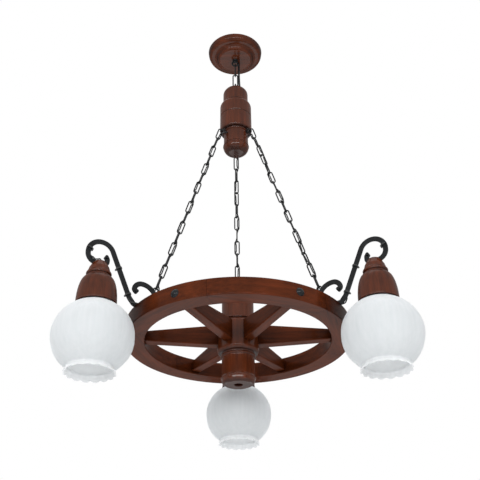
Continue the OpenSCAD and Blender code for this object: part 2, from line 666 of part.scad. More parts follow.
module spoke(i) {
    hub_in = drum_d / 2 - tenon_l - 4;
    hub_out = drum_d / 2 - 4;
    rim_in = wheel_d / 2 - rim_w;
    color(wood) toward(spoke_dirs[i]) difference() {
        union() {
            rotate([90, 0, 0]) linear_extrude(height = spoke_t, center = true)
                polygon([[hub_out, spoke_z - spoke_hub_h / 2], [rim_in - 0.3, spoke_z - spoke_rim_h / 2],
                    [rim_in - 0.3, spoke_z + spoke_rim_h / 2], [hub_out, spoke_z + spoke_hub_h / 2]]);
            translate([rim_in - 1, -spoke_t * 0.3, spoke_z - spoke_rim_h * 0.3])
                cube([tenon_l, spoke_t * 0.6, spoke_rim_h * 0.6]);
            translate([hub_in, -spoke_t * 0.3, spoke_z - spoke_hub_h * 0.3])
                cube([tenon_l, spoke_t * 0.6, spoke_hub_h * 0.6]);
        }
        translate([wheel_d / 2 - bolt_l - 1, 0, spoke_z]) rotate([0, 90, 0])
            cylinder(h = bolt_l, d = bolt_d + thread_fit, $fn = 32);
    }
}

module lower_hub() {
    drum_r = drum_d / 2;
    neck_r = hub_neck_d / 2;
    face_r = hub_face_d / 2;
    bead = 1.6;
    color(wood) difference() {
        rotate_extrude($fn = 96) polygon(concat(
            [[0, hub_face], [face_r, hub_face]],
            arc_pts(face_r - 3, hub_face + 12, 12, -70, -30, 4),
            [[neck_r + 0.4, hub_face + 9.5], [neck_r + bead, hub_face + 11.5],
                [neck_r + bead, hub_face + 13.5], [neck_r, hub_face + 16]],
            [[neck_r, drum_foot - 8]],
            arc_pts(neck_r, drum_foot - 5.5, 2.4, -80, 80, 5),
            [[neck_r + 0.6, drum_foot - 2.2], [neck_r + 1, drum_foot]],
            arc_pts(drum_r - 8, drum_foot + 10, 8, -70, 0, 5),
            arc_pts(drum_r - 8, drum_top - 10, 8, 0, 70, 5),
            [[neck_r + 1, drum_top], [neck_r + 0.6, drum_top + 2.2]],
            arc_pts(neck_r, drum_top + 5.5, 2.4, -80, 80, 5),
            [[neck_r, drum_top + 8], [neck_r, drum_top + upper_neck_h - 14],
                [face_r, drum_top + upper_neck_h], [0, drum_top + upper_neck_h]]));
        for (dir = spoke_dirs) toward(dir) {
            translate([drum_r - 4 - fit / 2, -spoke_t / 2 - fit / 2, spoke_z - spoke_hub_h / 2 - fit / 2])
                cube([10, spoke_t + fit, spoke_hub_h + fit]);
            translate([drum_r - 4 - tenon_l - fit, -spoke_t * 0.3 - fit / 2,
                spoke_z - spoke_hub_h * 0.3 - fit / 2])
                cube([tenon_l + 2, spoke_t * 0.6 + fit, spoke_hub_h * 0.6 + fit]);
        }
        translate([0, 0, hub_face - 1]) cylinder(h = hub_hole_h + 1, d = hub_hole_d);
        translate([0, 0, hub_face]) cylinder(h = hub_hole_h + 42, d = shank_d + thread_fit);
    }
}

module hub_bolt() {
    color(iron) translate([0, 0, hub_face + hub_hole_h]) {
        translate([0, 0, -1.6]) cylinder(h = 1.6, d = 14);
        translate([0, 0, -6]) hex(10, 4.6);
        cylinder(h = 40, d = shank_d);
    }
}

module rim_bolts() {
    ball_r = (pow(bolt_head_d / 2, 2) + pow(bolt_head_h, 2)) / 2 / bolt_head_h;
    // The head's edge lies on the round rim.
    seat_r = wheel_d / 2;
    color(iron) for (dir = spoke_dirs) toward(dir) translate([0, 0, spoke_z]) rotate([0, 90, 0]) {
        translate([0, 0, seat_r]) intersection() {
            translate([0, 0, bolt_head_h - ball_r]) sphere(r = ball_r, $fn = 48);
            cylinder(h = bolt_head_h + 1, d = bolt_head_d);
        }
        translate([0, 0, seat_r - bolt_l]) cylinder(h = bolt_l + 1, d = bolt_d, $fn = 32);
    }
}

// ---------------------------------------------------------------- arms
arm_screw_x = [foot_in + 7, foot_out - 7];

module arm(dir) {
    color(iron) toward(dir) difference() {
        union() {
            translate([0, 0, rim_top]) bent_bar(scroll_segs, [foot_in, bar_t / 2, 180], bar_w, bar_t);
            translate([foot_in - 0.5, -bar_w / 2, rim_top]) cube([foot_out - foot_in + 1, bar_w, bar_t]);
            translate([0, 0, rim_top]) bent_bar(arm_segs, [foot_out, bar_t / 2, 0], bar_w, bar_t);
            for (tip = [scroll_tip, arm_tip]) translate([tip[0], 0, rim_top + tip[1]]) rotate([90, 0, 0])
                cylinder(h = bar_w, r = snub_r, center = true);
            translate([arm_eye_c[0], 0, rim_top + arm_eye_c[1]]) rotate([90, 0, 0])
                ring(arm_eye_r, arm_eye_wire);
        }
        for (x = arm_screw_x) translate([x, 0, rim_top - 1])
            cylinder(h = bar_t + 2, d = arm_screw_d + drill_fit, $fn = 32);
        translate([lamp_r, 0, slot_floor - 1]) cylinder(h = bar_t + 2, d = cup_bolt_d + drill_fit, $fn = 32);
    }
}

module arm_screws() {
    color(iron) for (dir = lamp_dirs, x = arm_screw_x) toward(dir) translate([x, 0, rim_top]) {
        translate([0, 0, bar_t]) intersection() {
            cylinder(h = 3, d = 2 * arm_screw_d);
            translate([0, 0, -arm_screw_d * 0.8]) sphere(r = arm_screw_d * 1.3, $fn = 32);
        }
        translate([0, 0, -arm_screw_l]) cylinder(h = arm_screw_l + bar_t + 0.5, d = arm_screw_d, $fn = 32);
    }
}

tie_t = 1.2;
// Stations of the ties on the arm, and on which side the tie's head is.
tie_places = [[rise_start, 1, 0.04], [rise_start, 1, 0.62], [arch_end - 2, -1, 0.5]];

module cable_tie(at, head_side) {
    gap = 0.15;
    high = bar_t / 2 + gap;
    low = -bar_t / 2 - flex_d - 2 * gap - 0.15;
    side = bar_w / 2 + gap;
    translate([at[0], 0, at[1]]) rotate([0, -at[2], 0]) {
        difference() {
            translate([-1.4, -side - tie_t, low - tie_t])
                cube([2.8, 2 * (side + tie_t), high - low + 2 * tie_t]);
            translate([-3, -side, low]) cube([6, 2 * side, high - low]);
        }
        translate([-2.2, -2.2, head_side > 0 ? high + tie_t / 2 : low - tie_t / 2 - 3.4])
            cube([4.4, 4.4, 3.4]);
    }
}

module cable_ties() {
    color(iron) for (dir = lamp_dirs, place = tie_places) toward(dir) {
        a = arm_line[place[0]];
        b = arm_line[place[0] + 1];
        cable_tie([a[0] + (b[0] - a[0]) * place[2], a[1] + (b[1] - a[1]) * place[2], a[2]], place[1]);
    }
}

// ---------------------------------------------------------------- lamps
module cup(dir) {
    top_r = cup_top_d / 2;
    bead_r = cup_bead_d / 2;
    lip_r = cup_d / 2;
    bead_z = cup_top - 25;
    bell_top = bead_z - 8;
    bell_h = bell_top - cup_foot - 7;
    color(wood) toward(dir) translate([lamp_r, 0, 0]) difference() {
        rotate_extrude($fn = 96) polygon(concat(
            [[0, cup_top], [top_r - 2, cup_top], [top_r, cup_top - 2]],
            [[top_r + 3, cup_top - 7], [top_r + 6, cup_top - 12], [bead_r - 3.5, cup_top - 17.5]],
            arc_pts(bead_r - 4.2, bead_z, 4.2, 60, -60, 6),
            [[bead_r - 1.6, bell_top + 1.6]],
            [for (i = [0:10]) let(t = 9 * i) [bead_r - 0.6 + (lip_r - bead_r + 0.2) * sin(t),
                cup_foot + 7 + bell_h * cos(t)]],
            arc_pts(lip_r - 2.4, cup_foot + 3.4, 2.6, 45, -90, 6),
            [[0, cup_foot + 0.8]]));
        translate([0, 0, cup_foot - 1]) cylinder(h = cup_bore_h + 1, d = cup_bore_d);
        rotate_extrude($fn = 96) polygon(concat([[0, globe_c]],
            oval_pts(globe_c, globe_r + seat_gap, globe_b + seat_gap, 0, 90)));
        translate([-cup_top_d, -bar_w / 2 - fit / 2, slot_floor]) cube([2 * cup_top_d, bar_w + fit, 20]);
        translate([0, 0, cup_ceiling - 1]) cylinder(h = cup_h, d = cup_bolt_d + drill_fit, $fn = 32);
        translate([1, flex_side, cup_ceiling - 1]) cylinder(h = cup_h, d = flex_d + drill_fit, $fn = 24);
    }
}

module cup_bolts() {
    color(iron) for (dir = lamp_dirs) toward(dir) translate([lamp_r, 0, 0]) {
        translate([0, 0, slot_floor + bar_t]) hex(8, 3.5);
        translate([0, 0, holder_top - holder_wall - 7])
            cylinder(h = slot_floor + bar_t - holder_top + holder_wall + 8, d = cup_bolt_d, $fn = 32);
    }
}

module cup_nuts() {
    color(steel) for (dir = lamp_dirs) toward(dir)
        translate([lamp_r, 0, holder_top - holder_wall - 4]) difference() {
            hex(8, 4);
            translate([0, 0, -1]) cylinder(h = 6, d = cup_bolt_d + thread_fit, $fn = 32);
        }
}

module lampholder(dir) {
    bore_d = socket_d + 2 * shell_t + fit;
    color(iron) toward(dir) translate([lamp_r, 0, 0]) difference() {
        union() {
            translate([0, 0, holder_foot]) cylinder(h = holder_h, d = holder_d);
            translate([0, 0, holder_foot + 22]) cylinder(h = 4, d = cup_bore_d - 2);
        }
        translate([0, 0, holder_foot - 1]) cylinder(h = core_foot - holder_foot + 1, d = bore_d);
        translate([0, 0, core_foot - 0.1]) cylinder(h = core_h + 0.2, d = core_d + fit);
        translate([0, 0, core_top]) cylinder(h = holder_top - holder_wall - core_top, d = core_d - 2);
        translate([0, 0, holder_top - holder_wall - 1])
            cylinder(h = holder_wall + 2, d = cup_bolt_d + drill_fit, $fn = 32);
        translate([1, flex_side, holder_top - holder_wall - 1])
            cylinder(h = holder_wall + 2, d = flex_d + drill_fit, $fn = 24);
    }
}

module socket_cores() {
    color(cream) for (dir = lamp_dirs) toward(dir) translate([lamp_r, 0, core_foot]) difference() {
        cylinder(h = core_h, d = core_d);
        translate([0, 0, -1]) cylinder(h = 4, d = contact_d + fit, $fn = 32);
    }
}

module socket_shells() {
    color(brass) for (dir = lamp_dirs) toward(dir)
        translate([lamp_r, 0, shell_foot]) difference() {
            cylinder(h = shell_l, d = socket_d + 2 * shell_t);
            translate([0, 0, -1]) cylinder(h = shell_l + 2, d = socket_d);
        }
}

module centre_contacts() {
    color(brass) for (dir = lamp_dirs) toward(dir) translate([lamp_r, 0, core_foot - 2.5])
        cylinder(h = 5.4, d = contact_d, $fn = 32);
}

module shade_ring(dir) {
    color(iron) toward(dir) translate([lamp_r, 0, ring_top - ring_h]) difference() {
        cylinder(h = ring_h, d = ring_d);
        translate([0, 0, -1]) cylinder(h = ring_h + 2, d = holder_d + thread_fit);
    }
}

module shade(dir) {
    hole_r = globe_hole_d / 2;
    neck_r = globe_neck_d / 2;
    out_top = acos(hole_r / globe_r);
    in_top = acos(hole_r / globe_in_r);
    out_neck = -acos(neck_r / globe_r);
    in_neck = -acos((neck_r - glass_t) / globe_in_r);
    notch = 2.4;
    color(opal) toward(dir) translate([lamp_r, 0, 0]) difference() {
        rotate_extrude($fn = 96) polygon(concat(
            oval_pts(globe_c, globe_r, globe_b, out_top, out_neck, 26),
            [[neck_r + 0.6, neck_z - 3], [skirt_d / 2 - 1, skirt_z + 3.5], [skirt_d / 2, skirt_z],
                [skirt_d / 2 - glass_t, skirt_z], [skirt_d / 2 - glass_t - 1, skirt_z + 3.5],
                [neck_r - glass_t + 0.4, neck_z - 3]],
            oval_pts(globe_c, globe_in_r, globe_in_b, in_neck, in_top, 26)));
        for (k = [0:scallops - 1]) rotate([0, 0, 360 * k / scallops])
            translate([skirt_d / 2 - glass_t - 4, 0, skirt_z - 0.6]) rotate([0, 90, 0])
                cylinder(h = glass_t + 6, r = notch, $fn = 24);
    }
}

ceiling_strip();
rose();
ceiling_hook();
rose_terminal();
top_link_1();
top_link_2();
supply_cable();
hub_eye();
hub_eye_nut();
upper_hub();
hub_cap();
hub_terminal();
screw_hooks();
side_chain(0);  // chain_left
side_chain(1);  // chain_right
side_chain(2);  // chain_back
flex(0);  // flex_left
flex(1);  // flex_right
flex(2);  // flex_back
felloe(0);  // felloe_1
felloe(1);  // felloe_2
felloe(2);  // felloe_3
felloe(3);  // felloe_4
felloe(4);  // felloe_5
felloe(5);  // felloe_6
spoke(0);  // spoke_1
spoke(1);  // spoke_2
spoke(2);  // spoke_3
spoke(3);  // spoke_4
spoke(4);  // spoke_5
spoke(5);  // spoke_6
lower_hub();
hub_bolt();
rim_bolts();
arm(lamp_dirs[0]);  // arm_left
arm(lamp_dirs[1]);  // arm_right
arm(lamp_dirs[2]);  // arm_back
arm_screws();
cable_ties();
cup(lamp_dirs[0]);  // cup_left
cup(lamp_dirs[1]);  // cup_right
cup(lamp_dirs[2]);  // cup_back
cup_bolts();
cup_nuts();
lampholder(lamp_dirs[0]);  // lampholder_left
lampholder(lamp_dirs[1]);  // lampholder_right
lampholder(lamp_dirs[2]);  // lampholder_back
socket_cores();
socket_shells();
centre_contacts();
shade_ring(lamp_dirs[0]);  // shade_ring_left
shade_ring(lamp_dirs[1]);  // shade_ring_right
shade_ring(lamp_dirs[2]);  // shade_ring_back
shade(lamp_dirs[0]);  // shade_left
shade(lamp_dirs[1]);  // shade_right
shade(lamp_dirs[2]);  // shade_back
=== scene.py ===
import math

import bmesh
import bpy
from bpy.props import FloatProperty, FloatVectorProperty, IntProperty, PointerProperty
from mathutils import Matrix, Vector


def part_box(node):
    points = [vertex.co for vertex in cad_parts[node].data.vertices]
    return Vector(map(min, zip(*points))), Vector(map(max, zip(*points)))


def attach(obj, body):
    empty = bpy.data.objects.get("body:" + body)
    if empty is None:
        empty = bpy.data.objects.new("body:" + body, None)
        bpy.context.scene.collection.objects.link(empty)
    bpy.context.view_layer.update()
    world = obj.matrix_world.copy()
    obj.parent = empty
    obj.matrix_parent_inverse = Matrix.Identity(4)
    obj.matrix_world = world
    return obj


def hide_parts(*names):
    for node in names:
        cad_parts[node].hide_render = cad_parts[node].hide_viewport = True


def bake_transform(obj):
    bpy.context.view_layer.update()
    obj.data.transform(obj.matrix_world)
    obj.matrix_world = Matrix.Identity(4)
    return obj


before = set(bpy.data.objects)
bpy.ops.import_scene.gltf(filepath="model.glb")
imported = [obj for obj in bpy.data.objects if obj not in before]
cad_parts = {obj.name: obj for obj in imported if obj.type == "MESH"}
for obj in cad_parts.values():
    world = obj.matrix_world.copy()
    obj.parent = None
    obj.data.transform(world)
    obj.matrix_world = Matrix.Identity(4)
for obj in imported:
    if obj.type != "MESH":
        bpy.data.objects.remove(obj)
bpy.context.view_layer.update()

bl_info = {
    "name": "Wagon Wheel Chandelier",
    "version": (1, 0, 0),
    "blender": (4, 5, 0),
    "location": "View3D > Sidebar > Chandelier",
    "description": "Dresses the chandelier's frame with wood, wrought iron, chains and opal glass",
    "category": "Object",
}

MM = 0.001
# Directions are in degrees, from -Y towards -X.
LAMPS = {"left": 60, "right": -60, "back": 180}
SPOKES = (30, 90, 150, 210, 270, 330)
FIXTURE = "fixture"  # the body with the upper hub, the chains, the wheel and the lamps


# ---------------------------------------------------------------- small helpers

def hex_colour(code):
    """An sRGB hex colour as linear red, green and blue."""
    parts = [int(code[i:i + 2], 16) / 255 for i in (1, 3, 5)]
    return tuple(p / 12.92 if p <= 0.04045 else ((p + 0.055) / 1.055) ** 2.4 for p in parts)


def rotated(degrees, axis):
    return Matrix.Rotation(math.radians(degrees), 4, axis)


def shifted(x, y, z):
    return Matrix.Translation((x, y, z))


def toward(degrees):
    """Turns what is built along +X into one of the object's directions, from -Y towards -X."""
    return rotated(-90 - degrees, "Z")


def circle(radius, steps):
    """Points round a full circle."""
    angles = [2 * math.pi * k / steps for k in range(steps)]
    return [(radius * math.cos(a), radius * math.sin(a)) for a in angles]


def arc(x, y, radius, start, end, steps=10):
    """Points of an arc, with angles in degrees."""
    angles = [math.radians(start + (end - start) * i / steps) for i in range(steps + 1)]
    return [(x + radius * math.cos(a), y + radius * math.sin(a)) for a in angles]


def new_mesh(name, vertices, faces, material, sharp=40, place=None):
    """A piece from points in millimetres, smooth but for edges sharper than the given angle."""
    mesh = bpy.data.meshes.new(name)
    mesh.from_pydata([Vector(v) * MM for v in vertices], [], faces)
    mesh.validate()
    tidy = bmesh.new()
    tidy.from_mesh(mesh)
    bmesh.ops.remove_doubles(tidy, verts=tidy.verts, dist=1e-6)
    bmesh.ops.recalc_face_normals(tidy, faces=tidy.faces)
    tidy.to_mesh(mesh)
    tidy.free()
    mesh.shade_smooth()
    mesh.set_sharp_from_angle(angle=math.radians(sharp))
    piece = bpy.data.objects.new(name, mesh)
    bpy.context.scene.collection.objects.link(piece)
    piece.data.materials.append(material)
    if place is not None:
        piece.matrix_world = place
    return piece


def cut(piece, tool):
    """Takes one solid out of another."""
    modifier = piece.modifiers.new("Cut", "BOOLEAN")
    modifier.operation = "DIFFERENCE"
    modifier.solver = "EXACT"
    modifier.object = tool
    bpy.context.view_layer.update()
    graph = bpy.context.evaluated_depsgraph_get()
    mesh = bpy.data.meshes.new_from_object(piece.evaluated_get(graph))
    if len(mesh.polygons) < len(piece.data.polygons) / 2:
        raise RuntimeError("The cut took away too much of " + piece.name)
    piece.modifiers.clear()
    piece.data = mesh
    mesh.shade_smooth()
    mesh.set_sharp_from_angle(angle=math.radians(40))
    bpy.data.objects.remove(tool)


def held(points, near=0.8):
    """Adds a point close to each end of a long straight run, which keeps its shading flat."""
    out = [points[0]]
    for (a, b), (c, d) in zip(points, points[1:]):
        run = math.hypot(c - a, d - b)
        if run > 4 * near:
            t = near / run
            out += [(a + (c - a) * t, b + (d - b) * t), (c + (a - c) * t, d + (b - d) * t)]
        out.append((c, d))
    return out


def loft(rings):
    """Points and faces of a solid skin over rings of equally many points."""
    n = len(rings[0])
    vertices = [point for ring_points in rings for point in ring_points]
    faces = [(k * n + j, k * n + (j + 1) % n, (k + 1) * n + (j + 1) % n, (k + 1) * n + j)
             for k in range(len(rings) - 1) for j in range(n)]
    last = len(vertices) - 1
    return vertices, faces + [tuple(range(n)), tuple(range(last, last - n, -1))]


def lathe(profile, steps=96):
    """Points and faces of a turned solid from a list of (radius, height), closed at the axis."""
    vertices, rings = [], []
    for radius, height in held(profile):
        if radius < 1e-6:
            rings.append([len(vertices)])
            vertices.append((0, 0, height))
        else:
            rings.append(list(range(len(vertices), len(vertices) + steps)))
            vertices += [(x, y, height) for x, y in circle(radius, steps)]
    faces = []
    for low, high in zip(rings, rings[1:]):
        for k in range(steps):
            n = (k + 1) % steps
            quad = [low[k % len(low)], low[n % len(low)], high[n % len(high)], high[k % len(high)]]
            quad = [v for i, v in enumerate(quad) if v not in quad[:i]]
            if len(quad) > 2:
                faces.append(quad)
    return vertices, faces


def sweep(path, section, up, closed=False):
    """A section of (side, rise) points swept along a path. Side is square to the path and to up."""
    vertices, faces = [], []
    count, sides = len(path), len(section)
    path = [Vector(p) for p in path]
    for i, point in enumerate(path):
        before = path[(i - 1) % count] if closed or i else point
        after = path[(i + 1) % count] if closed or i < count - 1 else point
        along = (after - before).normalized()
        across = along.cross(Vector(up)).normalized()
        rise = across.cross(along)
        vertices += [tuple(point + across * a + rise * b) for a, b in section]
    for i in range(count if closed else count - 1):
        for k in range(sides):
            a, b = i * sides + k, i * sides + (k + 1) % sides
            c, d = (a + sides) % len(vertices), (b + sides) % len(vertices)
            faces.append((a, b, d, c))
    if not closed:
        faces.append(tuple(range(sides - 1, -1, -1)))
        faces.append(tuple(range(len(vertices) - sides, len(vertices))))
    return vertices, faces


def round_section(diameter, sides=12):
    return circle(diameter / 2, sides)


def bar_section(width, thickness, corner=0.9, steps=3):
    """A bar's section with worn corners."""
    half, thin = width / 2 - corner, thickness / 2 - corner
    corners = ((half, thin, 0), (-half, thin, 90), (-half, -thin, 180), (half, -thin, 270))
    points = [p for x, y, a in corners for p in arc(x, y, corner, a, a + 90, steps)]
    return held(points + points[:1], corner / 2)[:-1]


def moved(parts, matrix):
    """Points and faces after a move."""
    return [tuple(matrix @ Vector(v)) for v in parts[0]], parts[1]


def joined(*several):
    """Several sets of points and faces as one."""
    vertices, faces = [], []
    for points, sides in several:
        faces += [tuple(k + len(vertices) for k in face) for face in sides]
        vertices += points
    return vertices, faces


def smooth_path(points, steps):
    """A smooth curve through given points."""
    points = [Vector(p) for p in points]
    out = []
    last = len(points) - 1
    for i in range(last):
        p0, p1, p2, p3 = points[max(i - 1, 0)], points[i], points[i + 1], points[min(i + 2, last)]
        for k in range(steps):
            t = k / steps
            out.append(0.5 * (2 * p1 + (p2 - p0) * t + (2 * p0 - 5 * p1 + 4 * p2 - p3) * t * t
                              + (3 * p1 - p0 - 3 * p2 + p3) * t ** 3))
    return [tuple(p) for p in out + [points[-1]]]


def ring(radius, wire, steps, sides):
    """A round ring in the XZ plane."""
    path = [(x, 0, z) for x, z in circle(radius, steps)]
    return sweep(path, round_section(wire, sides), (0, 1, 0), closed=True)


def finish_piece(piece, body, node):
    """Hangs a piece on its body and hides the node that it stands for."""
    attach(piece, body)
    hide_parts(node)


def dress(node, material):
    """Gives a node that keeps its shape a better material."""
    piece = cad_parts[node]
    piece.data.materials.clear()
    piece.data.materials.append(material)
    for face in piece.data.polygons:
        face.material_index = 0


# ---------------------------------------------------------------- materials

def add(material, kind, inputs=None, stops=(), **settings):
    """Adds one shader node with its settings, colour stops and links. A node given as an input
    stands for its first output."""
    made = material.node_tree.nodes.new(kind)
    for name, value in settings.items():
        setattr(made, name, value)
    for socket, value in (inputs or {}).items():
        if isinstance(value, bpy.types.Node):
            value = value.outputs[0]
        if isinstance(value, bpy.types.NodeSocket):
            material.node_tree.links.new(value, made.inputs[socket])
        else:
            made.inputs[socket].default_value = value
    for k, (position, shade) in enumerate(stops):
        points = made.color_ramp.elements
        point = points[k] if k < len(points) else points.new(position)
        point.position = position
        point.color = (*shade, 1)
    return made


def blank(name):
    """A new material without nodes."""
    material = bpy.data.materials.new(name)
    material.use_nodes = True
    material.node_tree.nodes.clear()
    return material


def stained_wood(name, grain, varnish, dark, mid, light):
    """Tropical hardwood, planed or turned, with a dark red stain and satin varnish: long soft bands
    that run with the grain, short dark pores, and a thin coat that lies a little uneven in them."""
    wood = blank(name)
    place = add(wood, "ShaderNodeTexCoord")
    # The grain is stretched fourteen times along its axis, and each piece has its own part of it.
    stretch = {"X": (1 / 14, 1, 1), "Z": (1, 1, 1 / 14)}[grain]
    along = add(wood, "ShaderNodeMapping", {"Vector": place.outputs["Object"], "Scale": stretch})
    piece = add(wood, "ShaderNodeObjectInfo")
    plank = add(wood, "ShaderNodeVectorMath", {0: along, 1: piece.outputs["Location"]},
                operation="ADD")
    # Bands are 7 mm wide, fibres 1.6 mm and pores 0.9 mm. The stain is cloudy over 55 mm.
    bands = add(wood, "ShaderNodeTexNoise", {
        "Vector": plank, "Scale": 1 / (7 * MM), "Detail": 4.0, "Roughness": 0.55,
        "Distortion": 0.25})
    fibres = add(wood, "ShaderNodeTexNoise", {
        "Vector": plank, "Scale": 1 / (1.6 * MM), "Detail": 3.0, "Roughness": 0.6})
    pores = add(wood, "ShaderNodeTexVoronoi", {"Vector": plank, "Scale": 1 / (0.9 * MM)})
    clouds = add(wood, "ShaderNodeTexNoise", {
        "Vector": place.outputs["Object"], "Scale": 1 / (55 * MM), "Detail": 2.0})
    # End grain drinks more stain. Painted shade darkens the corners, from ambient occlusion over 90
    # mm.
    facing = add(wood, "ShaderNodeSeparateXYZ", {"Vector": place.outputs["Normal"]})
    ends = add(wood, "ShaderNodeMath", {0: facing.outputs[grain]}, operation="ABSOLUTE")
    corners = add(wood, "ShaderNodeAmbientOcclusion", {"Distance": 90 * MM}, samples=8)

    plain = (1.0, 1.0, 1.0)
    base = add(wood, "ShaderNodeValToRGB", {"Fac": bands},
               ((0.24, dark), (0.48, mid), (0.8, light)))
    fine = add(wood, "ShaderNodeValToRGB", {"Fac": fibres},
               ((0.3, (0.72, 0.7, 0.7)), (0.62, plain)))
    specks = add(wood, "ShaderNodeValToRGB", {"Fac": pores},
                 ((0.06, (0.55, 0.5, 0.5)), (0.24, plain)))
    tone = add(wood, "ShaderNodeValToRGB", {"Fac": clouds},
               ((0.32, (0.8, 0.78, 0.78)), (0.68, (1.16, 1.1, 1.06))))
    ends = add(wood, "ShaderNodeValToRGB", {"Fac": ends}, ((0.4, plain), (0.9, (0.4, 0.38, 0.38))))
    # Painted shade: where ambient occlusion finds a corner, the colour goes down to about a
    # quarter.
    corners = add(wood, "ShaderNodeValToRGB", {"Fac": corners.outputs["AO"]},
                  ((0.3, (0.25, 0.24, 0.27)), (0.88, plain)))
    colour = base.outputs["Color"]
    for layer, share in ((fine, 0.8), (specks, 0.6), (tone, 1.0), (ends, 1.0), (corners, 1.0)):
        colour = add(wood, "ShaderNodeMix", {"Factor": share, 6: colour, 7: layer},
                     data_type="RGBA", blend_type="MULTIPLY").outputs[2]

    gloss = add(wood, "ShaderNodeMapRange", {"Value": fibres, "To Min": 0.34, "To Max": 0.5})
    relief = add(wood, "ShaderNodeBump", {"Height": specks, "Strength": 0.12,
                                          "Distance": 0.2 * MM})
    shader = add(wood, "ShaderNodeBsdfPrincipled", {
        "Base Color": colour, "Roughness": gloss, "Normal": relief, "IOR": 1.5,
        "Specular IOR Level": 0.02, "Coat Weight": varnish, "Coat Roughness": 0.16,
        "Coat IOR": 2.2})
    add(wood, "ShaderNodeOutputMaterial", {"Surface": shader})
    return wood


def black_iron(name, grit, roughness, level, dark, light):
    """Mild steel, forged or bent, with a matt black paint: faint hammer dimples under the paint and
    slightly greyer rubbed spots."""
    iron = blank(name)
    place = add(iron, "ShaderNodeTexCoord")
    dimples = add(iron, "ShaderNodeTexNoise", {
        "Vector": place.outputs["Object"], "Scale": 1 / (grit * MM), "Detail": 3.0})
    # The rubbed spots are 14 mm wide.
    patches = add(iron, "ShaderNodeTexNoise", {
        "Vector": place.outputs["Object"], "Scale": 1 / (14 * MM), "Detail": 4.0,
        "Roughness": 0.65})
    colour = add(iron, "ShaderNodeValToRGB", {"Fac": patches}, ((0.36, dark), (0.7, light)))
    gloss = add(iron, "ShaderNodeMapRange", {
        "Value": patches, "To Min": roughness - 0.1, "To Max": roughness + 0.1})
    relief = add(iron, "ShaderNodeBump", {"Height": dimples, "Strength": 0.35,
                                          "Distance": 0.4 * MM})
    shader = add(iron, "ShaderNodeBsdfPrincipled", {
        "Base Color": colour, "Roughness": gloss, "Normal": relief, "IOR": 1.5,
        "Specular IOR Level": level})
    add(iron, "ShaderNodeOutputMaterial", {"Surface": shader})
    return iron


def opal_glass(name, body, streak):
    """Opal glass, blown into a ribbed mould: milky all through, with a soft gloss outside and faint
    paler and greyer streaks that run down the ribs."""
    glass = blank(name)
    place = add(glass, "ShaderNodeTexCoord")
    # Streaks are 6 mm wide and sixteen times as long.
    along = add(glass, "ShaderNodeMapping", {
        "Vector": place.outputs["Object"], "Scale": (1, 1, 1 / 16)})
    streaks = add(glass, "ShaderNodeTexNoise", {
        "Vector": along, "Scale": 1 / (6 * MM), "Detail": 1.0})
    colour = add(glass, "ShaderNodeValToRGB", {"Fac": streaks}, ((0.3, streak), (0.7, body)))
    # Painted shade: the colour darkens towards the lip, so the skirt is greyer than the globe.
    heights = add(glass, "ShaderNodeSeparateXYZ", {"Vector": place.outputs["Object"]})
    thin = add(glass, "ShaderNodeMapRange", {
        "Value": heights.outputs["Z"], "From Min": -61 * MM, "From Max": -55 * MM,
        "To Min": 0.72, "To Max": 1.0})
    colour = add(glass, "ShaderNodeMix", {"Factor": 1.0, 6: colour, 7: thin},
                 data_type="RGBA", blend_type="MULTIPLY").outputs[2]
    gloss = add(glass, "ShaderNodeMapRange", {"Value": streaks, "To Min": 0.5, "To Max": 0.62})
    shader = add(glass, "ShaderNodeBsdfPrincipled", {
        "Base Color": colour, "Roughness": gloss, "IOR": 1.5, "Specular IOR Level": 0.3,
        "Subsurface Weight": 0.85, "Subsurface Radius": (1.0, 1.0, 1.0), "Subsurface Scale": 0.04})
    through = add(glass, "ShaderNodeBsdfTranslucent", {"Color": colour})
    mixed = add(glass, "ShaderNodeMixShader", {0: 0.15, 1: shader, 2: through})
    add(glass, "ShaderNodeOutputMaterial", {"Surface": mixed})
    return glass


def moulded_plastic(name, grit, colour, shade):
    """PVC cable jacket, nylon tie, bakelite or glazed porcelain, moulded: one colour with a fine
    grain that breaks the gloss."""
    plastic = blank(name)
    place = add(plastic, "ShaderNodeTexCoord")
    grain = add(plastic, "ShaderNodeTexNoise", {
        "Vector": place.outputs["Object"], "Scale": 1 / (grit * MM), "Detail": 2.0})
    tint = add(plastic, "ShaderNodeValToRGB", {"Fac": grain}, ((0.35, shade), (0.65, colour)))
    gloss = add(plastic, "ShaderNodeMapRange", {"Value": grain, "To Min": 0.38, "To Max": 0.52})
    relief = add(plastic, "ShaderNodeBump", {"Height": grain, "Strength": 0.15,
                                             "Distance": 0.1 * MM})
    shader = add(plastic, "ShaderNodeBsdfPrincipled", {
        "Base Color": tint, "Roughness": gloss, "IOR": 1.5, "Normal": relief})
    add(plastic, "ShaderNodeOutputMaterial", {"Surface": shader})
    return plastic


def bare_metal(name, roughness, colour, shade):
    """Zinc plated steel or brass, stamped: a metal with rolling marks 0.8 mm apart and duller
    spots of 11 mm."""
    metal = blank(name)
    place = add(metal, "ShaderNodeTexCoord")
    marks = add(metal, "ShaderNodeTexNoise", {
        "Vector": place.outputs["Object"], "Scale": 1 / (0.8 * MM), "Detail": 2.0})
    spots = add(metal, "ShaderNodeTexNoise", {
        "Vector": place.outputs["Object"], "Scale": 1 / (11 * MM), "Detail": 3.0})
    tint = add(metal, "ShaderNodeValToRGB", {"Fac": spots}, ((0.35, shade), (0.65, colour)))
    gloss = add(metal, "ShaderNodeMapRange", {
        "Value": marks, "To Min": roughness - 0.08, "To Max": roughness + 0.08})
    shader = add(metal, "ShaderNodeBsdfPrincipled", {
        "Base Color": tint, "Roughness": gloss, "Metallic": 1.0})
    add(metal, "ShaderNodeOutputMaterial", {"Surface": shader})
    return metal


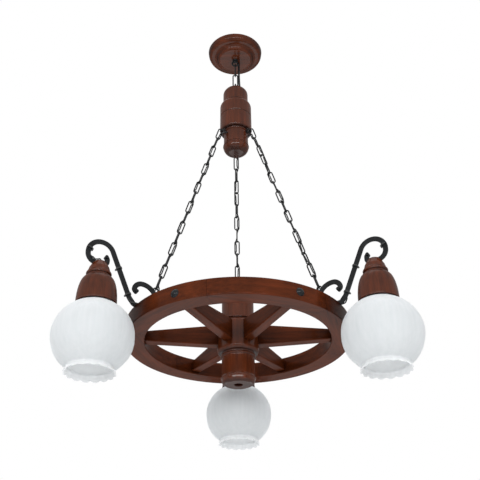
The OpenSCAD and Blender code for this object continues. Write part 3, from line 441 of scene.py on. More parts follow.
def materials():
    """The finishes, made once and then found by name."""
    looks = bpy.context.scene.chandelier_looks
    wood = (looks.wood_dark, looks.wood, looks.wood_light)
    paint = (looks.iron, looks.iron_rubbed)
    pvc = (looks.plastic, hex_colour("#0C0C0C"))
    bakelite = (hex_colour("#2A2624"), hex_colour("#1D1A19"))
    porcelain = (hex_colour("#E6E1D6"), hex_colour("#DCD6C9"))
    zinc = (hex_colour("#B4B6B8"), hex_colour("#9EA1A4"))
    brass = (hex_colour("#C9A55A"), hex_colour("#B18E48"))
    # Wood: the axis of the grain and the weight of the varnish. Iron: dimples in mm, roughness and
    # sheen. Plastic: grain in mm. Metal: roughness.
    finishes = {
        "Stained mahogany, turned": (stained_wood, "Z", 0.14, *wood),
        "Stained mahogany, faced": (stained_wood, "X", 0.08, *wood),
        "Stained mahogany, planed": (stained_wood, "X", 0.035, *wood),
        "Painted wrought iron": (black_iron, 2.2, 0.5, 0.16, *paint),
        "Painted chain steel": (black_iron, 1.2, 0.45, 0.16, *paint),
        "Japanned bolt steel": (black_iron, 1.8, 0.26, 0.18, *paint),
        "Opal glass, mould blown": (opal_glass, looks.glass, looks.glass_streak),
        "Black PVC, extruded": (moulded_plastic, 0.8, *pvc),
        "Bakelite, moulded": (moulded_plastic, 1.5, *bakelite),
        "Porcelain, glazed": (moulded_plastic, 2.5, *porcelain),
        "Steel, zinc plated": (bare_metal, 0.36, *zinc),
        "Brass, stamped": (bare_metal, 0.32, *brass),
    }
    return {name: bpy.data.materials.get(name) or make(name, *values)
            for name, (make, *values) in finishes.items()}


# ---------------------------------------------------------------- settings

def length(name, description, default):
    return FloatProperty(name=name, description=description, default=default * MM, min=0.0,
                         precision=4, unit="LENGTH")


def tint(name, description, default):
    return FloatVectorProperty(name=name, description=description, default=hex_colour(default),
                               subtype="COLOR", min=0.0, max=1.0)


class ChandelierLooks(bpy.types.PropertyGroup):
    """Colours of the chandelier's finishes"""

    wood: tint("Wood", "Main colour of the stained wood", "#48200C")
    wood_dark: tint("Dark Grain", "Darkest bands of the stained wood", "#38170B")
    wood_light: tint("Light Grain", "Lightest bands of the stained wood", "#582712")
    iron: tint("Iron", "Black paint on the iron", "#0E0F10")
    iron_rubbed: tint("Rubbed Iron", "Paint where it is rubbed", "#1B1D1F")
    glass: tint("Glass", "Body of the opal glass", "#F9FDFF")
    glass_streak: tint("Glass Streaks", "Greyer streaks of the opal glass", "#F3F8FA")
    plastic: tint("Cable", "Jacket of the cables", "#121213")


class ChandelierSizes(bpy.types.PropertyGroup):
    """Sizes of the chandelier's pieces"""

    wheel_radius: length("Wheel Radius", "Outer radius of the rim", 220)
    rim_width: length("Rim Width", "Radial width of the rim", 38)
    edge: length("Sanded Edge", "Rounding of the planed wood's edges", 1.6)
    link_length: length("Link Length", "Outer length of a side chain's link", 34.75)
    link_width: length("Link Width", "Outer width of a side chain's link", 12.5)
    link_wire: length("Link Wire", "Wire diameter of a side chain's link", 2.8)
    links: IntProperty(name="Links", description="Links in each side chain", default=16, min=2)
    bar_width: length("Bar Width", "Width of the iron bar", 10)
    bar_thickness: length("Bar Thickness", "Thickness of the iron bar", 3)
    flutes: IntProperty(name="Flutes", description="Soft flutes round each globe", default=16,
                        min=3)
    flute_depth: length("Flute Depth", "Depth of the globe's flutes", 0.9)
    ruffle: length("Ruffle", "Depth of the skirt's scallops", 2.4)
    cable: length("Cable", "Diameter of the lamp cables", 2.6)


# Heights that the frame settles, and what is measured from them, in millimetres.
RIM_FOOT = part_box("felloe_1")[0][2] / MM
RIM_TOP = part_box("felloe_1")[1][2] / MM
HUB_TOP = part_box("upper_hub")[1][2] / MM
STEM_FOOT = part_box("upper_hub")[0][2] / MM
HUB_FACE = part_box("lower_hub")[0][2] / MM
CUP_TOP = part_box("cup_back")[1][2] / MM
SKIRT_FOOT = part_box("shade_back")[0][2] / MM
GLOBE_MIDDLE = SKIRT_FOOT + 67.36
HOOK_HEIGHT = HUB_TOP - 137.5  # middle of the screw eyes
SPOKE_MIDDLE = (RIM_FOOT + RIM_TOP) / 2
CUP_HEIGHT = 89
LAMP_RADIUS = 294.0  # from the wheel's axis to a lamp's


# ---------------------------------------------------------------- pieces

HOOK_EYE = -36.8          # centre of the ceiling hook's ring
BOLT_RING = (7, 4)        # radius and wire of the rings on the ceiling hook and the hub's eye bolt
BOLT_SHANK = 6            # diameter of their shanks
SCREW_EYE = (5.2, 3)      # radius and wire of the screw eyes
ARM_EYE = (4.7, 2.8)      # radius and wire of the eyes on the arms
TOP_LINK = (40, 14, 3)    # length, width and wire of the top chain's links
SUPPLY_WIDTH = 5          # diameter of the supply cable


class CHANDELIER_OT_rose(bpy.types.Operator):
    """Turned rose with the strip, the hook and the terminal behind it"""

    bl_idname = "chandelier.rose"
    bl_label = "Ceiling Rose"

    def execute(self, context):
        finishes = materials()
        # The bore, the face, the ogee, the outer roll, and the recess for the wires.
        profile = [(3.3, -12.0), (3.3, -26.0), (36.4, -26.0)]
        profile += arc(36.6, -19.2, 6.8, -88, -20, 12) + arc(50.7, -24.3, 8.2, 160, 92, 12)[1:]
        profile += arc(55.6, -7.0, 9.0, -86, 14, 14) + [(65.4, -1.6), (64.6, 0.0), (52.0, 0.0)]
        profile += [(52.0, -12.0)]
        parts = lathe(profile + profile[:1])
        rose = new_mesh("wooden_rose", *parts, finishes["Stained mahogany, faced"], 50)
        finish_piece(rose, "ceiling", "rose")
        dress("ceiling_strip", finishes["Steel, zinc plated"])
        dress("rose_terminal", finishes["Porcelain, glazed"])
        shank = sweep([(0, 0, -3), (0, 0, -27)], round_section(BOLT_SHANK, 24), (0, 1, 0))
        collar = lathe([(0, -25.0), (5.9, -25.9), (6.5, -26.0), (6.5, -27.6), (5.8, -28.5),
                        (0, -28.5)], 40)
        eye = moved(ring(*BOLT_RING, 56, 14), shifted(0, 0, HOOK_EYE))
        hook = new_mesh("hook", *joined(shank, collar, eye), finishes["Painted wrought iron"])
        finish_piece(hook, "ceiling", "ceiling_hook")
        return {"FINISHED"}


def link_parts(long, wide, wire):
    """A chain link that stands in the XZ plane."""
    bend = (wide - wire) / 2
    straight = (long - wide) / 2
    path = [(x, 0, z + straight) for x, z in arc(0, 0, bend, 0, 180, 14)]
    path += [(x, 0, z - straight) for x, z in arc(0, 0, bend, 180, 360, 14)]
    return sweep(path, round_section(wire), (0, 1, 0), closed=True)


TOP_LINKS = {"top_link_1": (-58.5, 90), "top_link_2": (-92.2, 0)}  # middle, and turn from XZ
SUPPLY_WAY = ((9, 25.5, -7.5), (9, 20, -7.5), (9, 16.3, -7.7), (9, 13.0, -9.9), (9, 12.5, -12.8),
              (9, 12.5, -24), (9, 12.5, -27), (9, 11.0, -36), (9, 8.0, -48), (8.9, 5.0, -62),
              (8.9, 3.2, -77.7), (9.2, 2.4, -89.7), (10, 1.2, -110.7), (11, 0, -119.7),
              (11, 0, -125.7), (11, 0, -180), (10, 0, -200), (6.4, 0, -244), (6, 0, -262),
              (6, 0, -276.7))


class CHANDELIER_OT_top_chain(bpy.types.Operator):
    """The two links under the rose, and the supply cable beside them"""

    bl_idname = "chandelier.top_chain"
    bl_label = "Top Chain"

    def execute(self, context):
        finishes = materials()
        for node, (height, turn) in TOP_LINKS.items():
            parts = moved(link_parts(*TOP_LINK), shifted(0, 0, height) @ rotated(turn, "Z"))
            link = new_mesh(node + "_steel", *parts, finishes["Painted chain steel"])
            finish_piece(link, node, node)
        # The cable bends at the links' joints, so it is cut in three at the links' middles.
        path = smooth_path(SUPPLY_WAY, 6)
        spans = (("supply_upper", "ceiling", "top_link_1", 0, -60, -28, -56),
                 ("supply_middle", "top_link_1", "top_link_2", -60, -92, -66, -88),
                 ("supply_lower", "top_link_2", FIXTURE, -92, -280, -98, -121))
        for name, above, below, top, foot, start, end in spans:
            inside = [i for i, p in enumerate(path) if foot < p[2] <= top]
            stretch = path[max(inside[0] - 1, 0):inside[-1] + 1]
            parts = sweep(stretch, round_section(SUPPLY_WIDTH, 14), (1, 0, 0))
            piece = new_mesh(name, *parts, finishes["Black PVC, extruded"], 60)
            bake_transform(piece)
            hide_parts("supply_cable")
        return {"FINISHED"}


class CHANDELIER_OT_upper_hub(bpy.types.Operator):
    """Turned upper hub with its cap, eye bolt and the three screw eyes"""

    bl_idname = "chandelier.upper_hub"
    bl_label = "Upper Hub"

    def execute(self, context):
        finishes = materials()
        top, foot = HUB_TOP, STEM_FOOT
        barrel = top - 130  # foot of the wide barrel
        wood = finishes["Stained mahogany, turned"]
        # Bore, dome, shoulder, barrel with a V groove, cove, stem and the wider bore from below.
        profile = [(3.3, top - 30), (3.3, top), (12.9, top)]
        profile += arc(12.9, top - 16, 16, 88, 2, 16)
        profile += [(28.9, top - 40.5), (29.3, top - 42.2), (30.4, top - 43.2)]
        profile += arc(22.3, top - 57, 14, 58, 0, 10)
        profile += [(36.3, top - 84.2), (35.3, top - 85.2), (34.9, top - 86), (35.3, top - 86.8),
                    (36.4, top - 87.8), (36.5, barrel + 6.4)]
        profile += arc(31.4, barrel + 5, 5.1, 12, -88, 10)
        profile += [(29.4, barrel - 0.2), (28.1, barrel - 1.3), (27.7, barrel - 3),
                    (27.7, foot + 8), (28.3, foot + 3), (28.3, foot), (17.0, foot),
                    (17.0, top - 56), (3.3, top - 56)]
        hub = new_mesh("turned_upper_hub", *lathe(profile + profile[:1]), wood, 50)
        finish_piece(hub, FIXTURE, "upper_hub")
        cap = [(0, foot + 8), (16.9, foot + 8), (16.9, foot), (27.6, foot)]
        cap += arc(26.8, foot - 2.9, 2.7, 74, -24, 8)
        cap += arc(13.0, foot - 4.4, 15.6, 0, -90, 14) + [(0, foot - 20)]
        piece = new_mesh("turned_cap", *lathe(cap), wood, 50)
        finish_piece(piece, FIXTURE, "hub_cap")
        eye = moved(ring(*BOLT_RING, 56, 14), shifted(0, 0, top + 10.8) @ rotated(90, "Z"))
        collar = lathe([(0, top + 2.5), (5.8, top + 2.5), (6.5, top + 1.6), (6.5, top), (0, top)],
                       40)
        shank = sweep([(0, 0, top + 1), (0, 0, top - 65)], round_section(BOLT_SHANK, 24),
                      (0, 1, 0))
        piece = new_mesh("eye_bolt", *joined(eye, collar, shank), finishes["Painted wrought iron"])
        finish_piece(piece, FIXTURE, "hub_eye")
        eye = moved(ring(*SCREW_EYE, 40, 12), shifted(34.7, 0, HOOK_HEIGHT) @ rotated(90, "X"))
        shank = sweep([(19, 0, HOOK_HEIGHT), (29.4, 0, HOOK_HEIGHT)], round_section(SCREW_EYE[1]),
                      (0, 0, 1))
        plate = moved(lathe([(0, 0), (3.6, 0), (3.6, 0.6), (2.4, 1.3), (0, 1.3)], 24),
                      shifted(27.5, 0, HOOK_HEIGHT) @ rotated(90, "Y"))
        screw = joined(eye, shank, plate)
        screws = [moved(screw, toward(degrees)) for degrees in LAMPS.values()]
        piece = new_mesh("screw_eyes", *joined(*screws), finishes["Painted wrought iron"])
        finish_piece(piece, FIXTURE, "screw_hooks")
        dress("hub_eye_nut", finishes["Steel, zinc plated"])
        dress("hub_terminal", finishes["Porcelain, glazed"])
        return {"FINISHED"}


# The side chains' straight lines, as the frame has them.
CHAIN_START = (39.9, HOOK_HEIGHT)                   # where each hangs in its screw eye
CHAIN_TILT = math.radians(17.474)                   # how far it leans outward
LINK_PITCH = 29.0                                   # from a link to the next
FIRST_MIDDLE = 12.925                               # from the start to the first link's middle
CHAIN_TWIST = {"left": 0, "right": 90, "back": 90}  # twist at the chain's middle, in degrees


def twist_at(turn, most, links):
    """How far the chain is twisted at a link, in degrees."""
    return most * math.sin(math.pi * (turn + 0.5) / links) ** 2


def chain_point(s, a, b):
    """A point s down the chain, a outward and b sideways."""
    return (CHAIN_START[0] + s * math.sin(CHAIN_TILT) + a * math.cos(CHAIN_TILT), b,
            CHAIN_START[1] - s * math.cos(CHAIN_TILT) + a * math.sin(CHAIN_TILT))


class CHANDELIER_OT_side_chains(bpy.types.Operator):
    """The three side chains"""

    bl_idname = "chandelier.side_chains"
    bl_label = "Side Chains"

    def execute(self, context):
        finishes = materials()
        sizes = context.scene.chandelier_sizes
        one = link_parts(sizes.link_length / MM, sizes.link_width / MM, sizes.link_wire / MM)
        line = (shifted(CHAIN_START[0], 0, CHAIN_START[1])
                @ Matrix.Rotation(-CHAIN_TILT, 4, "Y"))
        for side, degrees in LAMPS.items():
            links = []
            for i in range(sizes.links):
                turn = (90 if i % 2 else 0) - twist_at(i, CHAIN_TWIST[side], sizes.links)
                place = (toward(degrees) @ line
                         @ shifted(0, 0, -FIRST_MIDDLE - i * LINK_PITCH) @ rotated(turn, "Z"))
                links.append(moved(one, place))
            chain = new_mesh("chain_steel_" + side, *joined(*links),
                             finishes["Painted chain steel"])
            finish_piece(chain, FIXTURE, "chain_" + side)
        return {"FINISHED"}


def wind_point(turn, most, links, wire, width, cable):
    """The cable's way round the chain: through each link's middle, with one turn in four links.
    Between two middles it swings out round the wires, with clearances of 0.55 and 0.75 mm."""
    beside = (wire + cable) / 2
    inner, outer = (width - wire) / 2 - beside - 0.55, (beside + 0.75) * math.sqrt(2)
    angle = math.radians(180 + 90 * turn - twist_at(turn, most, links))
    radius = inner + (outer - inner) * math.sin(math.pi * turn) ** 8
    return chain_point(FIRST_MIDDLE + turn * LINK_PITCH, radius * math.cos(angle),
                       radius * math.sin(angle))


# The arm's outline: a straight run is (length, 0), a bend is (radius, turn), + to the left.
FOOT_IN, FOOT_OUT = 188.2, 218.0  # the flat foot on the rim
SCROLL = ((6, -90), (21.6, 0), (12, -40), (30, -50), (15, -80), (5, -90))
ARM = ((8, 49), (9, 0), (20, 17.0293), (92.3848, 0), (25, -156.0293), (3, 0), (18.5, -90), (12, 0),
       (7.5, -90), (4, 0), (5, -60))
EYE_CENTRE = (179.722, 41.2487)  # centre of the welded eye, from the axis and from the rim's top


def stations(segments, start, step):
    """Places along a bar as (x, z, heading), one every step degrees in a bend."""
    x, z, heading = start
    out = [start]
    for size, turn in segments:
        if turn == 0:
            x += size * math.cos(math.radians(heading))
            z += size * math.sin(math.radians(heading))
            out.append((x, z, heading))
            continue
        side = math.copysign(1, turn)
        count = max(1, math.ceil(abs(turn) / step))
        for _ in range(count):
            before, after = math.radians(heading), math.radians(heading + turn / count)
            x += side * size * (math.sin(after) - math.sin(before))
            z -= side * size * (math.cos(after) - math.cos(before))
            heading += turn / count
            out.append((x, z, heading))
    return out


def beside_bar(place, offset, y):
    """A point beside the bar, offset to the right of its heading."""
    x, z, heading = place
    return (x + offset * math.sin(math.radians(heading)), y,
            z - offset * math.cos(math.radians(heading)) + RIM_TOP)


class CHANDELIER_OT_lamp_cables(bpy.types.Operator):
    """The three lamp cables, from the hub round the chains and along the arms"""

    bl_idname = "chandelier.lamp_cables"
    bl_label = "Lamp Cables"

    def execute(self, context):
        finishes = materials()
        sizes = context.scene.chandelier_sizes
        cable, width, wire = sizes.cable / MM, sizes.link_width / MM, sizes.link_wire / MM
        bar = stations(ARM, (FOOT_OUT, sizes.bar_thickness / MM / 2, 0.0), 10)
        rise, arch = 8, 25  # stations of the bar where the cable lies against it
        top, way_out = STEM_FOOT + 16, HOOK_HEIGHT - 6
        off = (sizes.bar_thickness / MM + cable) / 2 + 0.15
        side = (sizes.bar_width / MM + cable) / 2 + 1.2
        rim = RIM_TOP + cable / 2 + 0.1
        eye_x, eye_z = EYE_CENTRE[0], EYE_CENTRE[1] + RIM_TOP
        # From the hub's terminal out through the stem, and into the first link.
        in_hub = [(10, 0, top), (10, 0, top + 2), (10.8, 3, way_out - 2),
                  (12.6, 7.3, way_out - 0.1), (15, 8, way_out), (28.7, 8, way_out),
                  (33.7, 7.1, way_out - 1.2),
                  chain_point(8, -4.65, 3.6), chain_point(11.3, -2.0, 1.7)]
        # Past the welded eye, over the rim beside the arm's foot, and up on the bar.
        on_rim = [(eye_x - 4.9, side - 3.4, eye_z + 5), (eye_x - 4.2, side - 1, eye_z - 3),
                  (eye_x - 2, side, RIM_TOP + 27), (eye_x + 1, side, RIM_TOP + 14),
                  (FOOT_IN - 4, side, RIM_TOP + 6), (FOOT_IN + 1, side, rim + 0.8),
                  (FOOT_IN + 6, side, rim), (FOOT_OUT - 3, side, rim),
                  (FOOT_OUT + 3, side, rim + 0.1), (FOOT_OUT + 8.5, side - 1, rim + 0.5),
                  (bar[rise - 2][0] - 0.2, side - 3.4, RIM_TOP + 3.14),
                  (bar[rise - 2][0] + 3.4, 2.2, RIM_TOP + 8.44)]
        on_bar = [beside_bar(place, off, 0) for place in bar[rise:arch + 1]]
        # Off the bar at its arch, and down beside it through the cup's slot to the lampholder.
        in_cup = [beside_bar(bar[arch + 3], off + 0.2, 1.2),
                  beside_bar(bar[arch + 5], off + 0.9, side - 4.2),
                  beside_bar(bar[arch + 6], off + 0.6, side - 1.4),
                  beside_bar(bar[arch + 8], off - 1, side - 0.1),
                  (LAMP_RADIUS + 3.4, side, CUP_TOP + 3.6),
                  (LAMP_RADIUS + 1.2, side, CUP_TOP + 0.6),
                  (LAMP_RADIUS + 1, side, CUP_TOP - 3), (LAMP_RADIUS + 1, side, CUP_TOP - 39),
                  (LAMP_RADIUS + 1, side, CUP_TOP - 56.8)]
        for name, degrees in LAMPS.items():
            turns = [0.25 + i / 6 for i in range((sizes.links - 1) * 6 - 1)] + [sizes.links - 0.6]
            wound = [wind_point(turn, CHAIN_TWIST[name], sizes.links, wire, width, cable)
                     for turn in turns]
            route = in_hub + wound + on_rim + on_bar + in_cup
            parts = moved(sweep(smooth_path(route, 2), round_section(cable, 10), (0, 1, 0)),
                          toward(degrees))
            piece = new_mesh("lamp_cable_" + name, *parts, finishes["Black PVC, extruded"], 60)
            finish_piece(piece, FIXTURE, "flex_" + name)
        return {"FINISHED"}


class CHANDELIER_OT_felloes(bpy.types.Operator):
    """The six sawn felloes of the rim"""

    bl_idname = "chandelier.felloes"
    bl_label = "Felloes"

    def execute(self, context):
        finishes = materials()
        sizes = context.scene.chandelier_sizes
        outer, width = sizes.wheel_radius / MM, sizes.rim_width / MM
        inner, edge = outer - width, sizes.edge / MM
        corners = ((inner + edge, RIM_FOOT + edge, 270), (inner + edge, RIM_TOP - edge, 180),
                   (outer - edge, RIM_TOP - edge, 90), (outer - edge, RIM_FOOT + edge, 0))
        section = [p for x, z, a in corners for p in arc(x, z, edge, a, a - 90, 4)]
        section = held(section + section[:1])[:-1]
        first_seam, seam = -104, 0.04  # direction of the first seam, and half its width, in degrees
        reach = outer - width / 2
        for i in range(6):
            start = first_seam - 60 * i
            heading, turn = math.radians(start + 30), rotated(start + 120, "Z")
            middle = Vector((reach * math.cos(heading), reach * math.sin(heading), SPOKE_MIDDLE))
            # The grain runs along the felloe, so its mesh lies along its own X.
            back = (Matrix.Translation(middle) @ turn).inverted()
            angles = [math.radians(start + seam + (60 - 2 * seam) * k / 40) for k in range(41)]
            rings = [[tuple(back @ Vector((r * math.cos(a), r * math.sin(a), z)))
                      for r, z in section] for a in angles]
            piece = new_mesh("sawn_felloe_%d" % (i + 1), *loft(rings),
                             finishes["Stained mahogany, planed"], 50,
                             Matrix.Translation(middle * MM) @ turn)
            finish_piece(piece, FIXTURE, "felloe_%d" % (i + 1))
        return {"FINISHED"}


class CHANDELIER_OT_spokes(bpy.types.Operator):
    """The six tapered spokes"""

    bl_idname = "chandelier.spokes"
    bl_label = "Spokes"

    def execute(self, context):
        finishes = materials()
        sizes = context.scene.chandelier_sizes
        inner, outer = 36.5, (sizes.wheel_radius - sizes.rim_width) / MM - 0.2
        middle = (inner + outer) / 2
        thick, edge = 20, 1.8
        rings = [[(x - middle, y, z) for y, z in bar_section(thick, height, edge, 4)]
                 for x, height in ((inner, 42.5), (outer, 21))]
        for i, degrees in enumerate(SPOKES):
            place = toward(degrees) @ shifted(middle * MM, 0, SPOKE_MIDDLE * MM)
            piece = new_mesh("tapered_spoke_%d" % (i + 1), *loft(rings),
                             finishes["Stained mahogany, planed"], 50, place)
            finish_piece(piece, FIXTURE, "spoke_%d" % (i + 1))
        return {"FINISHED"}


class CHANDELIER_OT_lower_hub(bpy.types.Operator):
    """Turned lower hub with the bolt in its foot"""

    bl_idname = "chandelier.lower_hub"
    bl_label = "Lower Hub"

    def execute(self, context):
        finishes = materials()
        face, low = HUB_FACE, RIM_FOOT - 22
        high = low + 64  # the drum with the mortices stands from low to high
        profile = [(0, face + 12), (8.0, face + 12), (8.0, face + 0.8), (8.8, face), (23.4, face),
                   (25.0, face + 0.7)]
        profile += arc(21.7, face + 12, 12, -66, -34, 6)
        profile += [(32.2, face + 9.2)] + arc(31.8, face + 12.4, 1.7, -60, 60, 5)
        profile += [(31.9, face + 15.8), (31.8, low - 9)]
        profile += arc(31.8, low - 5.4, 2.4, -80, 80, 8)
        profile += [(32.2, low - 2.2), (33.0, low - 0.2)]
        profile += arc(32.5, low + 8, 8, -80, 0, 8) + arc(32.5, high - 8, 8, 0, 80, 8)
        profile += [(33.0, high + 0.2), (32.2, high + 2.2)]
        profile += arc(31.8, high + 5.4, 2.4, -80, 80, 8)
        profile += [(31.8, high + 9), (31.8, high + 48), (30.8, high + 50), (25.2, high + 61.2),
                    (23.6, high + 62), (0, high + 62)]
        piece = new_mesh("turned_lower_hub", *lathe(profile),
                         finishes["Stained mahogany, turned"], 50)
        finish_piece(piece, FIXTURE, "lower_hub")
        dress("hub_bolt", finishes["Painted wrought iron"])
        return {"FINISHED"}


class CHANDELIER_OT_rim_bolts(bpy.types.Operator):
    """The domed bolts in the rim"""

    bl_idname = "chandelier.rim_bolts"
    bl_label = "Rim Bolts"

    def execute(self, context):
        finishes = materials()
        outer = context.scene.chandelier_sizes.wheel_radius / MM
        half, dome = 8.3, 4.3  # half the head's width, and its height
        ball = (half ** 2 + dome ** 2) / 2 / dome
        lowest = math.degrees(math.asin((ball - dome) / ball))
        profile = [(0, -57.9), (2.5, -57.9), (2.5, -0.4), (half - 0.4, -0.4), (half, 0.1)]
        profile += arc(0, dome - ball, ball, lowest + 2, 89, 10) + [(0, dome)]
        bolt = moved(lathe(profile, 40), shifted(outer, 0, SPOKE_MIDDLE) @ rotated(90, "Y"))
        heads = [moved(bolt, toward(degrees)) for degrees in SPOKES]
        piece = new_mesh("domed_bolts", *joined(*heads), finishes["Japanned bolt steel"], 50)
        finish_piece(piece, FIXTURE, "rim_bolts")
        return {"FINISHED"}


class CHANDELIER_OT_arms(bpy.types.Operator):
    """The wrought arms with their scrolls, screws and cable ties"""

    bl_idname = "chandelier.arms"
    bl_label = "Arms"

    def execute(self, context):
        finishes = materials()
        sizes = context.scene.chandelier_sizes
        width, thick = sizes.bar_width / MM, sizes.bar_thickness / MM
        section = bar_section(width, thick)
        outward = stations(ARM, (FOOT_OUT, thick / 2, 0.0), 5)
        inward = stations(SCROLL, (FOOT_IN, thick / 2, 180.0), 5)
        line = [(x, 0, z + RIM_TOP) for x, z, _ in reversed(inward)]
        line += [(FOOT_IN + k * (FOOT_OUT - FOOT_IN) / 4, 0, thick / 2 + RIM_TOP)
                 for k in (1, 2, 3)]
        line += [(x, 0, z + RIM_TOP) for x, z, _ in outward]
        bar = sweep(line, section, (0, 1, 0))
        edge = width / 2 + 0.3
        roll = moved(lathe([(0, -edge), (2.6, -edge), (3.4, 0.8 - edge), (3.4, edge - 0.8),
                            (2.6, edge), (0, edge)], 28), rotated(90, "X"))
        snubs = [moved(roll, shifted(x, 0, z + RIM_TOP)) for x, z, _ in (inward[-1], outward[-1])]
        eye = moved(ring(*ARM_EYE, 36, 12), shifted(EYE_CENTRE[0], 0, EYE_CENTRE[1] + RIM_TOP))
        for side, degrees in LAMPS.items():
            parts = moved(joined(bar, *snubs, eye), toward(degrees))
            piece = new_mesh("wrought_arm_" + side, *parts, finishes["Painted wrought iron"], 45)
            finish_piece(piece, FIXTURE, "arm_" + side)
        screw = lathe([(0, -22), (2, -22), (2, 2.9), (4, 3.1)] + arc(0, 0.4, 4.6, 32, 88, 6)
                      + [(0, 5)], 28)
        screws = [moved(screw, toward(degrees) @ shifted(x, 0, RIM_TOP))
                  for degrees in LAMPS.values() for x in (FOOT_IN + 7, FOOT_OUT - 7)]
        piece = new_mesh("round_screws", *joined(*screws), finishes["Japanned bolt steel"], 50)
        finish_piece(piece, FIXTURE, "arm_screws")
        dress("cable_ties", finishes["Black PVC, extruded"])
        return {"FINISHED"}


class CHANDELIER_OT_cups(bpy.types.Operator):
    """The three turned cups over the lampholders"""

    bl_idname = "chandelier.cups"
    bl_label = "Lamp Cups"

    def execute(self, context):
        finishes = materials()
        wood = finishes["Stained mahogany, turned"]
        # Heights count from the cup's top: the bore, the foot, the bell, a bead and the neck.
        foot, bell = -CUP_HEIGHT, -33
        profile = [(0, foot + 50), (22.5, foot + 50), (22.5, foot + 6.2), (35.0, foot + 0.8)]
        profile += arc(35.1, foot + 3.4, 2.6, -80, 45, 8)
        profile += [(22.9 + 14.2 * math.sin(t), foot + 7 + (bell - foot - 7) * math.cos(t))
                    for t in [math.radians(90 - 6 * i) for i in range(16)]]
        profile += [(22.0, bell + 1.6)] + arc(19.3, -25, 4.2, -58, 60, 10)
        profile += [(20.2, -17.8), (18.7, -12.6), (16.9, -9.2), (15.6, -6.8), (12.9, -2.2),
                    (12.3, -1.0), (11.2, 0), (0, 0)]
        cup = lathe(profile)
        # The slot takes the arm's bar.
        slot = loft([[(x * 34, y * 5.1, z) for x, y in ((-1, -1), (1, -1), (1, 1), (-1, 1))]
                     for z in (-3.7, 20)])
        for side, degrees in LAMPS.items():
            turn = toward(degrees)
            place = Matrix.Translation(turn @ Vector((LAMP_RADIUS * MM, 0, CUP_TOP * MM)))
            piece = new_mesh("turned_cup_" + side, *moved(cup, turn), wood, 50, place)
            cut(piece, new_mesh("slot", *moved(slot, turn), wood, 30, place))
            finish_piece(piece, FIXTURE, "cup_" + side)
        dress("cup_bolts", finishes["Painted wrought iron"])
        dress("cup_nuts", finishes["Steel, zinc plated"])
        return {"FINISHED"}


class CHANDELIER_OT_lampholders(bpy.types.Operator):
    """Lampholders with their rolled thread shells and the rings that hold the glass"""

    bl_idname = "chandelier.lampholders"
    bl_label = "Lampholders"

    def execute(self, context):
        finishes = materials()
        for side in LAMPS:
            dress("lampholder_" + side, finishes["Bakelite, moulded"])
            dress("shade_ring_" + side, finishes["Bakelite, moulded"])
        dress("socket_cores", finishes["Porcelain, glazed"])
        dress("centre_contacts", finishes["Brass, stamped"])
        low, high = (corner[2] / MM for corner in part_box("socket_shells"))
        # The rolled thread's middle radius, half its depth and its pitch, and the sheet.
        middle, wave, pitch, brass, rows = 13.75, 0.35, 3.62, 0.4, 56
        outside = [(middle - wave * math.cos(2 * math.pi * (high - low) * k / rows / pitch),
                    low + (high - low) * k / rows) for k in range(rows + 1)]
        inside = [(r - brass, z) for r, z in reversed(outside)]
        shell = moved(lathe(outside + inside + outside[:1], 48), shifted(LAMP_RADIUS, 0, 0))
        shells = [moved(shell, toward(degrees)) for degrees in LAMPS.values()]
        piece = new_mesh("rolled_shells", *joined(*shells), finishes["Brass, stamped"], 60)
        finish_piece(piece, FIXTURE, "socket_shells")
        return {"FINISHED"}


class CHANDELIER_OT_globes(bpy.types.Operator):
    """The three fluted opal globes with their ruffled skirts"""

    bl_idname = "chandelier.globes"
    bl_label = "Opal Globes"

    def execute(self, context):
        finishes = materials()
        sizes = context.scene.chandelier_sizes
        radius, tall, wall = 73.5, 69.5, 3.0  # half width and half height of the body, and glass
        hole, waist = 21, 43                  # radii of the hole above and the waist below
        steps = 192
        start, end = math.acos(hole / radius), -math.acos(waist / radius)
        outer = [(radius * math.cos(t), tall * math.sin(t)) for t in
                 [start + (end - start) * i / 60 for i in range(61)]]
        neck_z = outer[-1][1]
        flare = [(42.6, -1.6), (42.9, -3.2), (43.6, -5.2), (44.4, -7.2), (45.1, -9.2),
                 (45.6, -10.6)]
        flare = [(r, neck_z + z) for r, z in flare]
        lip = [(45.4, neck_z - 11.0), (44.2, neck_z - 11.0)]
        inner = [(r - 2.4, z) for r, z in reversed(flare)]
        start = -math.acos((waist - wall) / (radius - wall))
        end = math.acos(hole / (radius - wall))
        inner += [((radius - wall) * math.cos(t), (tall - wall) * math.sin(t)) for t in
                  [start + (end - start) * i / 48 for i in range(49)]]
        profile = outer + flare + lip + inner
        rows = len(profile)
        vertices = []
        for k in range(steps):
            turn = 2 * math.pi * k / steps
            wave = 0.5 + 0.5 * math.cos(sizes.flutes * turn)
            for r, z in profile:
                # The flutes fade in below the shoulder and run down into the skirt's scallops.
                fade = min(1.0, max(0.0, (40 - z) / 60))
                deep = fade * fade * (3 - 2 * fade) * sizes.flute_depth / MM
                skirt = min(1.0, max(0.0, (neck_z - 1 - z) / 10))
                r2 = r - deep * wave * (1 - 0.5 * skirt) + skirt * 1.1 * (0.5 - wave)
                z2 = z + skirt * skirt * sizes.ruffle / MM * wave ** 2
                vertices.append((r2 * math.cos(turn), r2 * math.sin(turn), z2))
        faces = []
        for k in range(steps):
            n = (k + 1) % steps
            for j in range(rows):
                m = (j + 1) % rows
                faces.append((k * rows + j, n * rows + j, n * rows + m, k * rows + m))
        for side, degrees in LAMPS.items():
            turn = toward(degrees)
            place = Matrix.Translation(turn @ Vector((LAMP_RADIUS * MM, 0, GLOBE_MIDDLE * MM)))
            piece = new_mesh("opal_globe_" + side, *moved((vertices, faces), turn),
                             finishes["Opal glass, mould blown"], 60, place)
            finish_piece(piece, FIXTURE, "shade_" + side)
        return {"FINISHED"}


# ---------------------------------------------------------------- stage

